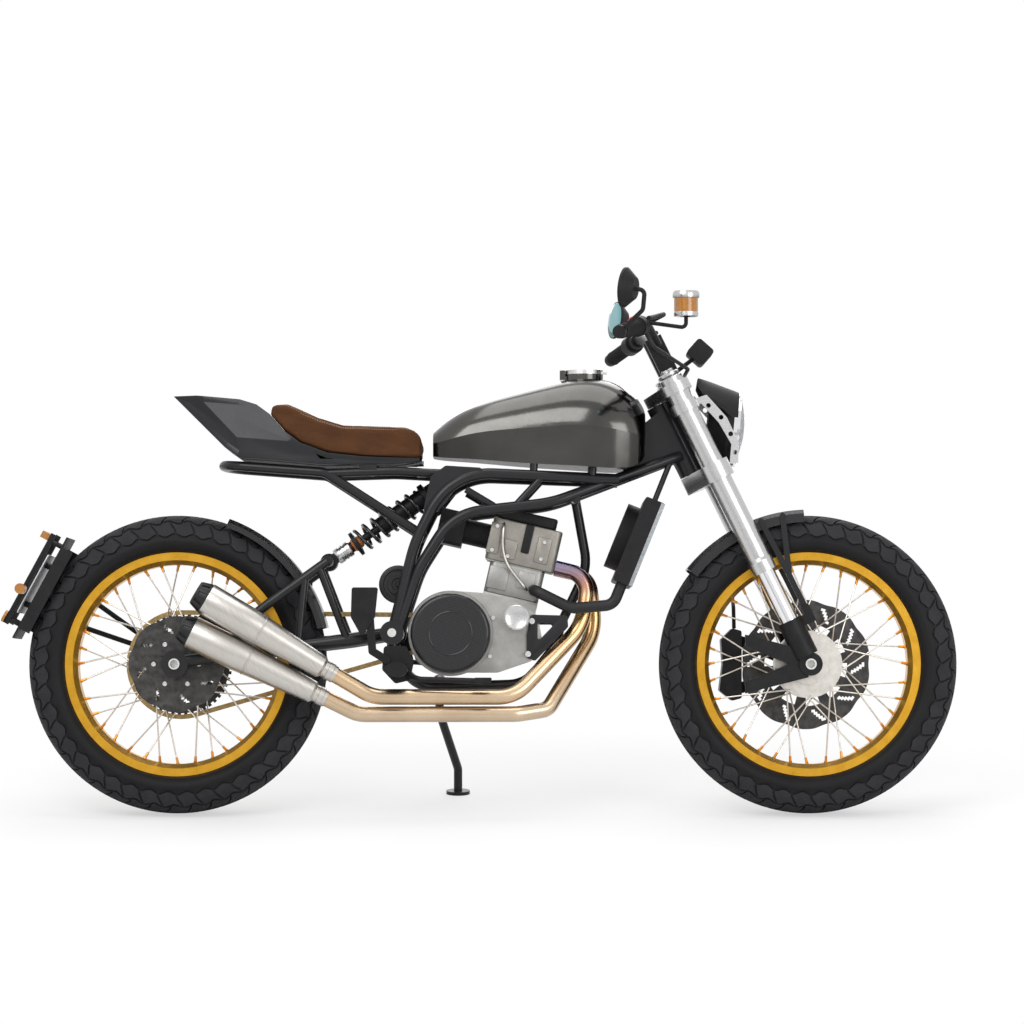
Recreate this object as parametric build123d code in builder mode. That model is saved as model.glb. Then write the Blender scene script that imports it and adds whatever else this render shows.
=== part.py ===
from build123d import *

import os
from math import cos, radians, sin

# A street tracker motorcycle, right side towards -Y and front wheel towards +X.
# It is modelled upright, with X from the rear axle and Z up from a level below both axles,
# and at the end the whole machine is leaned over onto its side stand.

# Driving dimensions, in millimetres and degrees
wheelbase = 1451.0
axle_z = 343.0
tyre_radius = 343.0
tyre_height = 100.0
tyre_width = 140.0
rim_flange_height = 14.0
rim_well_depth = 14.0
rim_width = 94.0
rim_wall = 4.0
spoke_count = 36
spoke_diameter = 3.6
spoke_swing = 35.0
hub_flange_radius = 77.0
hub_flange_spacing = 80.0
hub_flange_thickness = 8.0
hub_barrel_radius = 34.0
hub_shoulder_radius = 46.0
axle_diameter = 25.0
axle_bore_diameter = 18.0
axle_bore_depth = 40.0
shaft_clearance = 0.1
seat_gap = 0.3

rake = 26.0
steer_limit = 35.0
steer_clearance = 7.0
fork_offset = 45.0
fork_spread = 210.0
fork_outer_diameter = 54.0
fork_inner_diameter = 43.0
fork_slider_bottom = 110.0
fork_outer_bottom = 235.0
fork_top = 735.0
fork_clamp_thickness = 36.0
stem_diameter = 30.0
headstock_diameter = 60.0
headstock_low = 512.0
headstock_high = 688.0
yoke_clearance = 2.0
upper_yoke_thickness = 24.0
lower_yoke_thickness = 40.0
clamp_wall = 9.0
caliper_reach = 149.0
caliper_bolt_spacing = 108.0
caliper_bolt_hole = 10.4
caliper_bolt_depth = 22.0

rail_diameter = 25.0
rail_y = 118.0
brace_diameter = 16.0
cradle_diameter = 22.0
pivot_x, pivot_z = 496.0, 414.0
pivot_boss_radius = 27.0
pivot_boss_inner = 105.0
pivot_boss_outer = 140.0
pivot_tube_radius = 23.0
pivot_bolt_diameter = 20.0
pivot_bolt_overhang = 6.0
arm_diameter = 32.0
arm_rear_y = 108.0
truss_diameter = 22.0
strut_diameter = 18.0
apex_x, apex_z = 348.0, 578.0
apex_bar_radius = 12.0
axle_lug_radius = 31.0

case_half_width = 96.0
case_chain_side = 70.0
engine_tilt = 13.0
barrel_base = 60.0
barrel_width, barrel_length, barrel_height = 130.0, 128.0, 74.0
head_width, head_length, head_height = 140.0, 162.0, 98.0
cam_cover_height = 26.0
clutch_x, clutch_z = 629.0, 413.0
clutch_radius = 91.0
clutch_depth = 30.0
clutch_ring_depth = 10.0
pipe_diameter = 36.0
muffler_radius = 37.5
muffler_cap_depth = 28.0

radiator_tilt = 22.0
radiator_thickness, radiator_width, radiator_height = 46.0, 250.0, 205.0

disc_radius = 150.0
rear_disc_radius = 110.0
disc_thickness = 5.0
disc_plane = 58.0
chain_pitch = 15.875
rear_teeth = 48
front_teeth = 15
sprocket_thickness = 6.0
chain_y = 84.0
chain_width = 13.0
chain_height = 12.0

guard_gap = 9.0
guard_wall = 3.0
guard_side_gap = 2.0

lean_angle = 9.0
stand_pivot = Vector(600, 122, 300)
stand_pivot_tilt = 22.0
stand_foot_x, stand_foot_y = 642.0, 268.0
stand_leg_diameter = 20.0
stand_eye_radius = 17.0
stand_eye_length = 24.0
stand_pin_diameter = 14.0
stand_foot_radius = 28.0
stand_foot_thickness = 8.0

filler_x = 936.0
filler_seat_z = 992.0
filler_radius = 44.0
filler_neck_wall = 12.0
neck_root = 40.0
filler_ring_height = 20.0

bar_diameter = 22.0
grip_inset = 4.0
grip_length = 122.0
grip_diameter = 33.0
switch_length, switch_diameter = 34.0, 46.0
perch_length, perch_diameter = 24.0, 34.0

# Places worked out from the driving dimensions
bead_radius = tyre_radius - tyre_height
rim_flange_radius = bead_radius + rim_flange_height
rim_well_radius = bead_radius - rim_well_depth
guard_radius = tyre_radius + guard_gap
rear_axle = Vector(0, 0, axle_z)
front_axle = Vector(wheelbase, 0, axle_z)
side_y = Vector(0, 1, 0)
rake_x, rake_z = sin(radians(rake)), cos(radians(rake))
steer = Plane(
    front_axle - Vector(rake_z, 0, rake_x) * fork_offset,
    x_dir=(rake_z, 0, rake_x),
    z_dir=(-rake_x, 0, rake_z),
)
leg_y = fork_spread / 2
leg_half = fork_clamp_thickness / 2
leg_in, leg_out = leg_y - leg_half, leg_y + leg_half
outer_radius = fork_outer_diameter / 2
arm_inner = arm_rear_y - arm_diameter / 2
arm_outer = arm_rear_y + arm_diameter / 2
rear_pitch_radius = chain_pitch / (2 * sin(radians(180 / rear_teeth)))
front_pitch_radius = chain_pitch / (2 * sin(radians(180 / front_teeth)))
front_sprocket = Vector(568, 0, 420)
engine_up = Vector(sin(radians(engine_tilt)), 0, cos(radians(engine_tilt)))
engine = Plane((745, 0, 440), x_dir=side_y.cross(engine_up), z_dir=engine_up)
radiator_up = Vector(sin(radians(radiator_tilt)), 0, cos(radians(radiator_tilt)))
radiator_plane = Plane((1059, 0, 622), x_dir=side_y.cross(radiator_up), z_dir=radiator_up)


def flip(point):
    """The same point on the other side of the machine."""
    return Vector(point.X, -point.Y, point.Z)


def steered(point):
    """A point ahead of, beside and along the steering stem, in the machine's frame."""
    return steer.from_local_coords(Vector(point))


def fork_side(y):
    """The side view of the fork at one Y: ahead of the stem, and up along it."""
    return Plane(steered((0, y, 0)), x_dir=steer.x_dir, z_dir=-side_y)


def bent_tube(points, radii, diameter):
    """A round bar along straight runs joined by arcs."""
    with BuildPart() as tube:
        with BuildLine() as path:
            FilletPolyline(*points, radius=radii)
        with BuildSketch(Plane(path.line @ 0, z_dir=path.line % 0)):
            Circle(diameter / 2)
        sweep(path=path.line)
    return tube.part


def rod(start, end, diameter):
    """A straight round bar between two points."""
    start, end = Vector(start), Vector(end)
    with BuildPart() as bar:
        with BuildSketch(Plane(start, z_dir=end - start)):
            Circle(diameter / 2)
        extrude(amount=(end - start).length)
    return bar.part


def side_plate(outline, y_low, y_high, corner=0.0):
    """A flat plate seen from the side, with rounded corners, from one Y to another."""
    with BuildPart() as plate:
        with BuildSketch(Plane.XZ.offset(-y_high)) as face:
            with BuildLine():
                Polyline(*outline, close=True)
            make_face()
            if corner:
                fillet(face.vertices(), corner)
        extrude(amount=y_high - y_low)
    return plate.part


def strap(points, width, y_low, y_high):
    """A flat strap with round ends along a run of points, seen from the side."""
    with BuildPart() as bar:
        for start, end in zip(points, points[1:]):
            with BuildSketch(Plane.XZ.offset(-y_high)):
                with Locations(start, end):
                    Circle(width / 2)
                make_hull()
            extrude(amount=y_high - y_low)
    return bar.part


def turned(centre, profile, arc=360.0, start=0.0):
    """A solid of revolution about a crosswise axis, from (y, radius) points."""
    with BuildPart() as body:
        with BuildSketch(Plane(centre, x_dir=side_y, z_dir=(1, 0, 0))):
            with BuildLine():
                Polyline(*profile, close=True)
            make_face()
        revolve(axis=Axis(centre, side_y), revolution_arc=arc)
    return body.part.rotate(Axis(centre, side_y), start)


# Tyres and rims
# Columns: share of the half width, share of the height from bead to crown
tyre_section = (
    (0.30, 1.000),
    (0.78, 0.880),
    (1.00, 0.560),
)
bead_half = rim_width / 2 - rim_wall - seat_gap


def make_tyre(centre):
    right_half = [
        (share * tyre_width / 2, bead_radius + rise * tyre_height) for share, rise in tyre_section
    ]
    right_half += [(bead_half, rim_flange_radius), (bead_half, bead_radius + seat_gap)]
    left_half = [(-y, r) for y, r in reversed(right_half)]
    return turned(centre, right_half + left_half)


def make_rim(centre):
    edge = rim_width / 2
    seat = edge - rim_wall
    right_half = [
        (seat * 0.55, rim_well_radius + 2 * rim_wall),
        (seat * 0.68, bead_radius),
        (seat, bead_radius),
        (seat, rim_flange_radius),
        (edge, rim_flange_radius),
        (edge, bead_radius - rim_wall),
        (edge * 0.55, rim_well_radius),
    ]
    left_half = [(-y, r) for y, r in reversed(right_half)]
    return turned(centre, right_half + left_half)


def make_spokes(centre):
    """Crossed spokes, alternately to the two flanges and leading or trailing."""
    reach = Vector(0, 0, hub_flange_radius - 6)
    grip = Vector(0, 0, rim_well_radius + rim_wall)
    bars = []
    for index in range(spoke_count):
        side = 1 if index % 2 == 0 else -1
        swing = 1 if index % 4 < 2 else -1
        at_rim = index * 360 / spoke_count
        at_hub = at_rim - swing * spoke_swing
        hub_y = side * (hub_flange_spacing / 2 + swing * hub_flange_thickness / 2)
        start = centre + reach.rotate(Axis.Y, at_hub) + side_y * hub_y
        end = centre + grip.rotate(Axis.Y, at_rim) + side_y * (side * rim_width / 10)
        bars.append(rod(start, end, spoke_diameter))
    return bars


def make_hub(centre, right_end, left_end):
    """A hub from its right end face to its left one, with two flanges and their spokes."""
    bore = axle_diameter / 2 + shaft_clearance
    flange = hub_flange_spacing / 2
    half = hub_flange_thickness / 2
    profile = [
        (right_end, bore),
        (left_end, bore),
        (left_end, hub_shoulder_radius),
        (flange + half, hub_shoulder_radius),
        (flange + half, hub_flange_radius),
        (flange - half, hub_flange_radius),
        (flange - 3 * half, hub_barrel_radius),
        (-flange + 3 * half, hub_barrel_radius),
        (-flange + half, hub_flange_radius),
        (-flange - half, hub_flange_radius),
        (-flange - half, hub_shoulder_radius),
        (right_end, hub_shoulder_radius),
    ]
    barrel = turned(centre, profile)
    bars = make_spokes(centre)
    with BuildPart() as hub:
        add(barrel)
        for bar in bars:
            add(bar)
    return hub.part


def make_disc(centre, radius, face_y, outward):
    """A wavy brake disc with windows, seated on the hub's end face."""
    with BuildPart() as disc:
        with BuildSketch(Plane(centre + side_y * face_y, x_dir=(1, 0, 0), z_dir=side_y * outward)):
            Circle(radius)
            with PolarLocations(radius * 1.06, 8):
                Circle(radius * 0.11, mode=Mode.SUBTRACT)
            with PolarLocations(radius * 0.53, 6, start_angle=15):
                Circle(radius * 0.15, mode=Mode.SUBTRACT)
            Circle(hub_barrel_radius * 0.8, mode=Mode.SUBTRACT)
        extrude(amount=disc_thickness)
    return disc.part


rear_hub_left = chain_y - sprocket_thickness / 2
front_tyre = make_tyre(front_axle)
rear_tyre = make_tyre(rear_axle)
front_rim = make_rim(front_axle)
rear_rim = make_rim(rear_axle)
front_hub = make_hub(front_axle, -disc_plane, disc_plane)
rear_hub = make_hub(rear_axle, -disc_plane, rear_hub_left)
front_disc = make_disc(front_axle, disc_radius, disc_plane, 1)
rear_disc = make_disc(rear_axle, rear_disc_radius, -disc_plane, -1)

# Rear sprocket and chain
sprocket_tip = rear_pitch_radius - chain_height / 2 - 1.0
with BuildPart() as rear_sprocket:
    with BuildSketch(Plane(rear_axle + side_y * rear_hub_left, x_dir=(1, 0, 0), z_dir=side_y)):
        Circle(sprocket_tip)
        with PolarLocations(sprocket_tip * 0.66, 6):
            Circle(sprocket_tip * 0.2, mode=Mode.SUBTRACT)
        Circle(hub_barrel_radius * 0.8, mode=Mode.SUBTRACT)
    extrude(amount=sprocket_thickness)


def make_loop(half_height):
    """The chain's outline round both sprockets, as a solid as wide as the chain."""
    with BuildPart() as loop:
        with BuildSketch(Plane.XZ.offset(-chain_y - chain_width / 2)):
            with Locations((rear_axle.X, rear_axle.Z)):
                Circle(rear_pitch_radius + half_height)
            with Locations((front_sprocket.X, front_sprocket.Z)):
                Circle(front_pitch_radius + half_height)
            make_hull()
        extrude(amount=chain_width)
    return loop.part


chain_outside = make_loop(chain_height / 2)
chain_inside = make_loop(-chain_height / 2)
with BuildPart() as drive_chain:
    add(chain_outside)
    add(chain_inside, mode=Mode.SUBTRACT)

# Axles
spacer_radius = axle_diameter / 2 + 5


def make_axle(centre, right_hub, left_hub, inner, outer):
    """An axle with spacers beside the hub, hollow at its right end."""
    shaft = axle_diameter / 2
    hole = axle_bore_diameter / 2
    profile = [
        (-outer, hole),
        (-outer, shaft),
        (-inner, shaft),
        (-inner, spacer_radius),
        (right_hub, spacer_radius),
        (right_hub, shaft),
        (left_hub, shaft),
        (left_hub, spacer_radius),
        (inner, spacer_radius),
        (inner, shaft),
        (outer, shaft),
        (outer, 0),
        (axle_bore_depth - outer, 0),
        (axle_bore_depth - outer, hole),
    ]
    return turned(centre, profile)


front_axle_end = leg_out + 4.0
rear_axle_end = arm_outer + 10.0
hub_right = -disc_plane - seat_gap
front_spindle = make_axle(front_axle, hub_right, disc_plane + seat_gap, leg_in - seat_gap, front_axle_end)
rear_spindle = make_axle(rear_axle, hub_right, rear_hub_left + seat_gap, arm_inner - 1.5, rear_axle_end)

# Front fork, in the steering plane: X ahead of the stem, Z up along it
right_leg = Plane(steered((fork_offset, -leg_y, 0)), x_dir=steer.x_dir, z_dir=steer.z_dir)
with BuildPart() as fork_inner_tubes:
    with BuildSketch(right_leg.offset(fork_slider_bottom)):
        Circle(fork_inner_diameter / 2)
    extrude(amount=fork_outer_bottom - fork_slider_bottom)
    mirror(about=Plane.XZ)

seal_step = 2.0
# Columns: radius, height along the leg
outer_tube_steps = (
    (outer_radius + seal_step, fork_outer_bottom),
    (outer_radius + seal_step, fork_outer_bottom + 26.0),
    (outer_radius, fork_outer_bottom + 34.0),
    (outer_radius, fork_top - 8.0),
    (outer_radius - 8.0, fork_top),
)
with BuildPart() as fork_outer_tubes:
    with BuildSketch(Plane(right_leg.origin, x_dir=steer.x_dir, z_dir=-side_y)):
        with BuildLine():
            Polyline((0, fork_outer_bottom), *outer_tube_steps, (0, fork_top), close=True)
        make_face()
    revolve(axis=Axis(right_leg.origin, steer.z_dir))
    mirror(about=Plane.XZ)

clamp_bore = outer_radius + shaft_clearance
upper_yoke_low = headstock_high + yoke_clearance
upper_yoke_top = upper_yoke_low + upper_yoke_thickness
lower_yoke_low = headstock_low - yoke_clearance - lower_yoke_thickness


def yoke_blank(low, thickness, stem_wall, grown=0.0):
    """The outline of a fork yoke, from clamp to stem to clamp, grown for a clearance."""
    with BuildPart() as blank:
        with BuildSketch(steer.offset(low - grown)):
            with Locations((fork_offset, leg_y), (fork_offset, -leg_y)):
                Circle(clamp_bore + clamp_wall + grown)
            with Locations((0, 0)):
                Circle(stem_diameter / 2 + stem_wall + grown)
            make_hull()
        extrude(amount=thickness + 2 * grown)
    return blank.part


def make_yoke(low, thickness, stem_wall):
    """A fork yoke: two leg clamps joined to the stem."""
    blank = yoke_blank(low, thickness, stem_wall)
    with BuildPart() as yoke:
        add(blank)
        with BuildSketch(steer.offset(low)):
            with Locations((fork_offset, leg_y), (fork_offset, -leg_y)):
                Circle(clamp_bore)
        extrude(amount=thickness, mode=Mode.SUBTRACT)
    return yoke.part


upper_stem_wall, lower_stem_wall = 12.0, 16.0
upper_plate = make_yoke(upper_yoke_low, upper_yoke_thickness, upper_stem_wall)
lower_plate = make_yoke(lower_yoke_low, lower_yoke_thickness, lower_stem_wall)
with BuildPart() as upper_yoke:
    add(upper_plate)
    with BuildSketch(steer.offset(upper_yoke_low)):
        Circle(stem_diameter / 2 + shaft_clearance)
    extrude(amount=upper_yoke_thickness, mode=Mode.SUBTRACT)
with BuildPart() as lower_yoke:
    add(lower_plate)
    with BuildSketch(steer.offset(lower_yoke_low)):
        with Locations((fork_offset + 100, 0)):
            Circle(84)
    extrude(amount=lower_yoke_thickness, mode=Mode.SUBTRACT)
    with BuildSketch(steer.offset(lower_yoke_low)):
        Circle(stem_diameter / 2)
    extrude(amount=upper_yoke_top - lower_yoke_low)

# Fork feet: a socket for each leg, the axle boss and two arms for a radial caliper
claw_x = wheelbase - caliper_reach
claw_z = (axle_z + caliper_bolt_spacing / 2, axle_z - caliper_bolt_spacing / 2)
claw_half = 13.0
foot_socket_radius = fork_inner_diameter / 2 + 7.0
axle_boss_radius = axle_diameter / 2 + 14.0
stay_u, stay_w = 93.0, 122.0
stay_thickness = 4.0
guard_half = tyre_width / 2 + guard_side_gap
stay_y = guard_half + guard_wall + seat_gap
claw_arms = [
    side_plate(
        [
            (wheelbase - 4, axle_z + sign * 30),
            (claw_x, z + sign * claw_half),
            (claw_x, z - sign * claw_half),
            (wheelbase - 30, axle_z - sign * 8),
        ],
        -leg_out + 5,
        -leg_in - 3,
    )
    for sign, z in zip((1, -1), claw_z)
]
with BuildPart() as axle_clamps:
    with BuildSketch(right_leg.offset(spacer_radius + 3)):
        Circle(foot_socket_radius)
    extrude(amount=fork_slider_bottom - spacer_radius - 3)
    for arm in claw_arms:
        add(arm)
    with BuildSketch(Plane.XZ.offset(leg_in)):
        with Locations((wheelbase, axle_z)):
            Circle(axle_boss_radius)
    extrude(amount=fork_clamp_thickness)
    with BuildSketch(fork_side(-stay_y - stay_thickness - seat_gap)):
        with Locations((stay_u - 20, stay_w - 26)):
            Rectangle(56, 24)
        with Locations((stay_u, stay_w - 14)):
            Rectangle(18, 40)
    extrude(amount=14)
    with BuildSketch(Plane.XZ.offset(leg_in)):
        with Locations((wheelbase, axle_z)):
            Circle(axle_diameter / 2 + shaft_clearance)
    extrude(amount=fork_clamp_thickness, mode=Mode.SUBTRACT)
    with BuildSketch(Plane((claw_x, -leg_y, axle_z), x_dir=side_y, z_dir=(1, 0, 0))):
        with Locations((-1, caliper_bolt_spacing / 2), (-1, -caliper_bolt_spacing / 2)):
            Circle(caliper_bolt_hole / 2)
    extrude(amount=caliper_bolt_depth, mode=Mode.SUBTRACT)
    mirror(about=Plane.XZ)

# Front brake caliper on the left claw, straddling the disc
caliper_x = claw_x - seat_gap
caliper_out, caliper_in = leg_out - 6.0, disc_plane - 16.0
with BuildPart() as front_caliper:
    with BuildSketch(Plane.XZ.offset(-caliper_out)) as outline:
        with BuildLine():
            Polyline(
                (caliper_x, claw_z[0] + 24),
                (caliper_x - 22, claw_z[0] + 30),
                (caliper_x - 48, claw_z[0] + 4),
                (caliper_x - 44, axle_z),
                (caliper_x - 52, claw_z[1] - 6),
                (caliper_x - 22, claw_z[1] - 30),
                (caliper_x, claw_z[1] - 24),
                close=True,
            )
        make_face()
        fillet(outline.vertices(), 6)
    extrude(amount=caliper_out - caliper_in)
    with BuildSketch(Plane.XZ.offset(-disc_plane - disc_thickness - 2)):
        with Locations((wheelbase, axle_z)):
            Circle(disc_radius + 6)
    extrude(amount=disc_thickness + 4, mode=Mode.SUBTRACT)

# Handlebar and its risers, in the steering plane
bar_end = Vector(-27, 400, 855)
bar_rise = Vector(44, 205, 857)
bar_bend = Vector(52, 96, 811)
riser_y, riser_width, riser_length = 46.0, 34.0, 40.0
bar_points = [steered(p) for p in (bar_end, bar_rise, bar_bend)]
handlebar_path = bar_points + [steered(flip(p)) for p in (bar_bend, bar_rise, bar_end)]
handlebar = bent_tube(handlebar_path, [80, 60, 60, 80], bar_diameter)
with BuildPart() as bar_risers:
    for side in (1, -1):
        with BuildSketch(fork_side(side * riser_y + riser_width / 2)):
            with Locations((bar_bend.X, (upper_yoke_top + bar_bend.Z) / 2 + 10)):
                Rectangle(riser_length, bar_bend.Z - upper_yoke_top + 20)
            with Locations((bar_bend.X, bar_bend.Z)):
                Circle(bar_diameter / 2 + shaft_clearance, mode=Mode.SUBTRACT)
        extrude(amount=riser_width)


def along_bar(distance, side):
    """A plane square to the bar's end run, at a distance in from its end."""
    start = steered((bar_end.X, side * bar_end.Y, bar_end.Z))
    stop = steered((bar_rise.X, side * bar_rise.Y, bar_rise.Z))
    run = (stop - start).normalized()
    return Plane(start + run * distance, z_dir=run)


def bar_sleeve(distance, length, outer):
    """A sleeve on each end of the bar."""
    with BuildPart() as sleeve:
        for side in (1, -1):
            with BuildSketch(along_bar(distance, side)):
                Circle(outer / 2)
                Circle(bar_diameter / 2 + shaft_clearance, mode=Mode.SUBTRACT)
            extrude(amount=length)
    return sleeve.part


switch_start = grip_inset + grip_length + seat_gap
perch_start = switch_start + switch_length
grips = bar_sleeve(grip_inset, grip_length, grip_diameter)
switchgear = bar_sleeve(switch_start, switch_length, switch_diameter)
perches = bar_sleeve(perch_start, perch_length, perch_diameter)
lever_diameter = 11.0
lever_reach = 58.0
reservoir_base = steered((128, -262, 830))
reservoir_radius, reservoir_height = 27.0, 42.0


def make_lever(side):
    """A hand lever ahead of its grip."""
    perch = along_bar(perch_start + perch_length / 2, side).origin
    middle = along_bar(90, side).origin
    tip = along_bar(16, side).origin
    root = steer.x_dir * (perch_diameter / 2 - 3)
    reach = steer.x_dir * lever_reach
    return bent_tube([perch + root, perch + reach, middle + reach, tip + reach * 1.1], [12, 30], lever_diameter)


levers = [make_lever(side) for side in (1, -1)]
right_perch = along_bar(perch_start + perch_length / 2, -1).origin
reservoir_stay = bent_tube(
    [
        right_perch + steer.x_dir * (perch_diameter / 2 - 3),
        reservoir_base + Vector(0, 0, -26),
        reservoir_base + Vector(0, 0, -seat_gap),
    ],
    [10],
    9,
)
with BuildPart() as bar_controls:
    add(switchgear)
    add(perches)
    for piece in (*levers, reservoir_stay):
        add(piece)
with BuildPart() as brake_reservoir:
    with BuildSketch(Plane(reservoir_base)):
        Circle(reservoir_radius)
    extrude(amount=reservoir_height)
    with BuildSketch(Plane(reservoir_base).offset(reservoir_height)):
        Circle(reservoir_radius + 2)
    extrude(amount=14)
    fillet(brake_reservoir.edges().sort_by(Axis.Z)[-1], 4)

# Mirrors on the bar's ends, with points given from the end of the bar
mirror_radius = 45.0
mirror_face = Vector(-0.93, 0.33, 0.12).normalized()
right_end = along_bar(0, -1)
mirror_hub = right_end.origin + Vector(20, -28, 94)
stalk = bent_tube(
    [
        right_end.origin - right_end.z_dir * 7,
        right_end.origin + Vector(48, -32, 45),
        right_end.origin + Vector(52, -34, 88),
        mirror_hub - mirror_face * 8,
    ],
    [14, 12],
    10,
)
bar_plug = rod(right_end.origin - right_end.z_dir * 16, right_end.origin - right_end.z_dir * seat_gap, 30)
mirror_back = Plane(mirror_hub + mirror_face * 10, x_dir=mirror_face.cross(Vector(0, 0, 1)), z_dir=-mirror_face)
with BuildPart() as mirrors:
    with BuildSketch(mirror_back):
        Circle(mirror_radius)
    extrude(amount=-5)
    with BuildSketch(mirror_back):
        Circle(mirror_radius)
    extrude(amount=23, taper=42)
    add(stalk)
    add(bar_plug)
    mirror(about=Plane.XZ)

# Front brake hose: from the right lever's perch across to the left leg and down to the caliper
hose_diameter = 9.0
hose_route = [
    right_perch - steer.z_dir * (perch_diameter / 2 + 2 * seat_gap),
    right_perch - steer.z_dir * 52,
    steered((90, -112, 728)),
    steered((90, 118, 728)),
    steered((80, 158, 655)),
    steered((54, 152, 330)),
    steered((-30, 150, 226)),
    Vector(caliper_x - 16, (caliper_in + caliper_out) / 2 + 20, claw_z[0] + 78),
    Vector(caliper_x - 16, (caliper_in + caliper_out) / 2, claw_z[0] + 31 + seat_gap),
]
brake_hose = bent_tube(hose_route, [24, 40, 40, 30, 60, 24, 14], hose_diameter)

# Headlight, its brackets and the instrument box
light_radius = 83.0
light_depth = 20.0
light_plane = Plane(steered((132, 0, 560)), x_dir=side_y, z_dir=(0.995, 0, -0.10))
light_bracket_y = light_radius + seat_gap
light_bracket_wall = 5.0
light_clamp_low = 642.0
light_back = -light_plane.z_dir
cowl_wall, cowl_length, cowl_flare = 5.0, 96.0, 26.0
# Columns: radius, distance behind the light's rim
cowl_section = (
    (light_radius - 1, -2),
    (light_radius - 1 + cowl_wall, -2),
    (light_radius - 1 + cowl_wall + cowl_flare, cowl_length),
    (light_radius - 1 + cowl_flare, cowl_length),
)
cowl_side = side_plate(
    [(1180, 1012), (1194, 1004), (1262, 986), (1310, 960), (1310, 893), (1271, 900), (1209, 958)], -light_radius, light_radius
)
with BuildPart() as cowl_shell:
    with BuildSketch(Plane(light_plane.origin, x_dir=side_y, z_dir=side_y.cross(light_back))):
        with BuildLine():
            Polyline(*cowl_section, close=True)
        make_face()
    revolve(axis=Axis(light_plane.origin, light_back))
    add(cowl_side, mode=Mode.INTERSECT)
cowl = cowl_shell.part
with BuildPart() as headlight_shell:
    with BuildSketch(light_plane):
        Circle(light_radius)
    extrude(amount=-light_depth)
    with BuildSketch(light_plane.offset(-light_depth)):
        Circle(light_radius)
    extrude(amount=-44, taper=38)
    add(cowl)
with BuildPart() as headlight_lens:
    with BuildSketch(light_plane.offset(seat_gap)):
        Circle(light_radius - 3)
    extrude(amount=22, taper=40)
with BuildPart() as light_brackets:
    with BuildSketch(fork_side(-light_bracket_y)):
        with BuildLine():
            Polyline(
                (60, 644),
                (84, 646),
                (101, 588),
                (105, 531),
                (83, 495),
                (100, 486),
                (122, 526),
                (123, 591),
                (104, 658),
                (60, 664),
                close=True,
            )
        make_face()
        with Locations((97, 634), (111, 597), (114, 553), (104, 511)):
            Circle(5.5, mode=Mode.SUBTRACT)
    extrude(amount=light_bracket_wall)
    with BuildSketch(right_leg.offset(light_clamp_low)):
        Circle(clamp_bore + 5)
    extrude(amount=24)
    with BuildSketch(right_leg.offset(light_clamp_low)):
        Circle(clamp_bore)
    extrude(amount=24, mode=Mode.SUBTRACT)
    mirror(about=Plane.XZ)

dash_plane = Plane(steered((138, 0, 755)), x_dir=(0.75, 0, -0.66), z_dir=(0.66, 0, 0.75))
dash_stays = [
    bent_tube(
        [steered((60, y, upper_yoke_top + seat_gap)), steered((60, y, 738)), steered((130, y, 752))], [10], 9
    )
    for y in (-14, 14)
]
with BuildPart() as instrument_box:
    with Locations(dash_plane.location):
        Box(48, 96, 46)
    fillet(instrument_box.edges().filter_by(Axis.Y), 8)
    for stay in dash_stays:
        add(stay)


def make_guard(centre, start, arc, skirt):
    """An arched guard with turned-down sides, over part of a tyre."""
    outside = guard_radius + guard_wall
    profile = [
        (-guard_half - guard_wall, guard_radius - skirt),
        (-guard_half, guard_radius - skirt),
        (-guard_half, guard_radius - 8),
        (-guard_half + 14, guard_radius),
        (guard_half - 14, guard_radius),
        (guard_half, guard_radius - 8),
        (guard_half, guard_radius - skirt),
        (guard_half + guard_wall, guard_radius - skirt),
        (guard_half + guard_wall, guard_radius - 6),
        (guard_half - 12, outside),
        (-guard_half + 12, outside),
        (-guard_half - guard_wall, guard_radius - 6),
    ]
    return turned(centre, profile, arc, start)


def guard_point(angle, inset):
    """A point of the front guard's side view, by its angle from the top and its distance in from the crown."""
    at = front_axle + Vector(0, 0, guard_radius - inset).rotate(Axis.Y, angle)
    return (at.X, at.Z)


# Front mudguard and its stays
front_mudguard = make_guard(front_axle, -52.0, 50.0, 26.0)
stay_foot = steered((stay_u, 0, stay_w))
stay_knee = (stay_foot.X - 36, stay_foot.Z + 74)
stay_arms = [
    strap([(stay_foot.X, stay_foot.Z), stay_knee, top], 13, -stay_y - stay_thickness, -stay_y)
    for top in (guard_point(-18.7, 6), guard_point(-10.2, 6))
]
with BuildPart() as mudguard_stays:
    for piece in stay_arms:
        add(piece)
    mirror(about=Plane.XZ)

# Main frame
upper_rail = bent_tube(
    [
        (pivot_x, -rail_y - 2, pivot_z),
        (548, -rail_y, 620),
        (628, -rail_y, 782),
        steered((-162, -78, 572)),
    ],
    [300, 150],
    rail_diameter,
)
lower_rail = bent_tube(
    [
        (pivot_x + 14, -rail_y - 2, pivot_z + 6),
        (556, -rail_y, 560),
        (636, -rail_y, 686),
        (860, -96, 712),
        steered((-6, -24, 560)),
    ],
    [220, 130, 260],
    rail_diameter,
)
braces = [
    rod((838, -98, 771), (781, -103, 709), brace_diameter),
    rod((664, -rail_y + 4, 742), (728, -108, 704), brace_diameter),
]
cradle_end_y = 123.0
front_mount = Vector(884, 0, 440)
cradle = bent_tube(
    [
        (front_mount.X, -38, front_mount.Z),
        (868, -42, 384),
        (800, -46, 298),
        (560, -52, 290),
        (510, -120, 338),
        (pivot_x, -cradle_end_y - 1, pivot_z - 18),
    ],
    [60, 80, 60, 30],
    cradle_diameter,
)
shock_top = Vector(600, 0, 752)
rail_gusset = side_plate(
    [(566, 690), (584, 772), (618, 796), (720, 790), (640, 742), (600, 690)], -rail_y - 3, -rail_y + 3, 8
)
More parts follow.
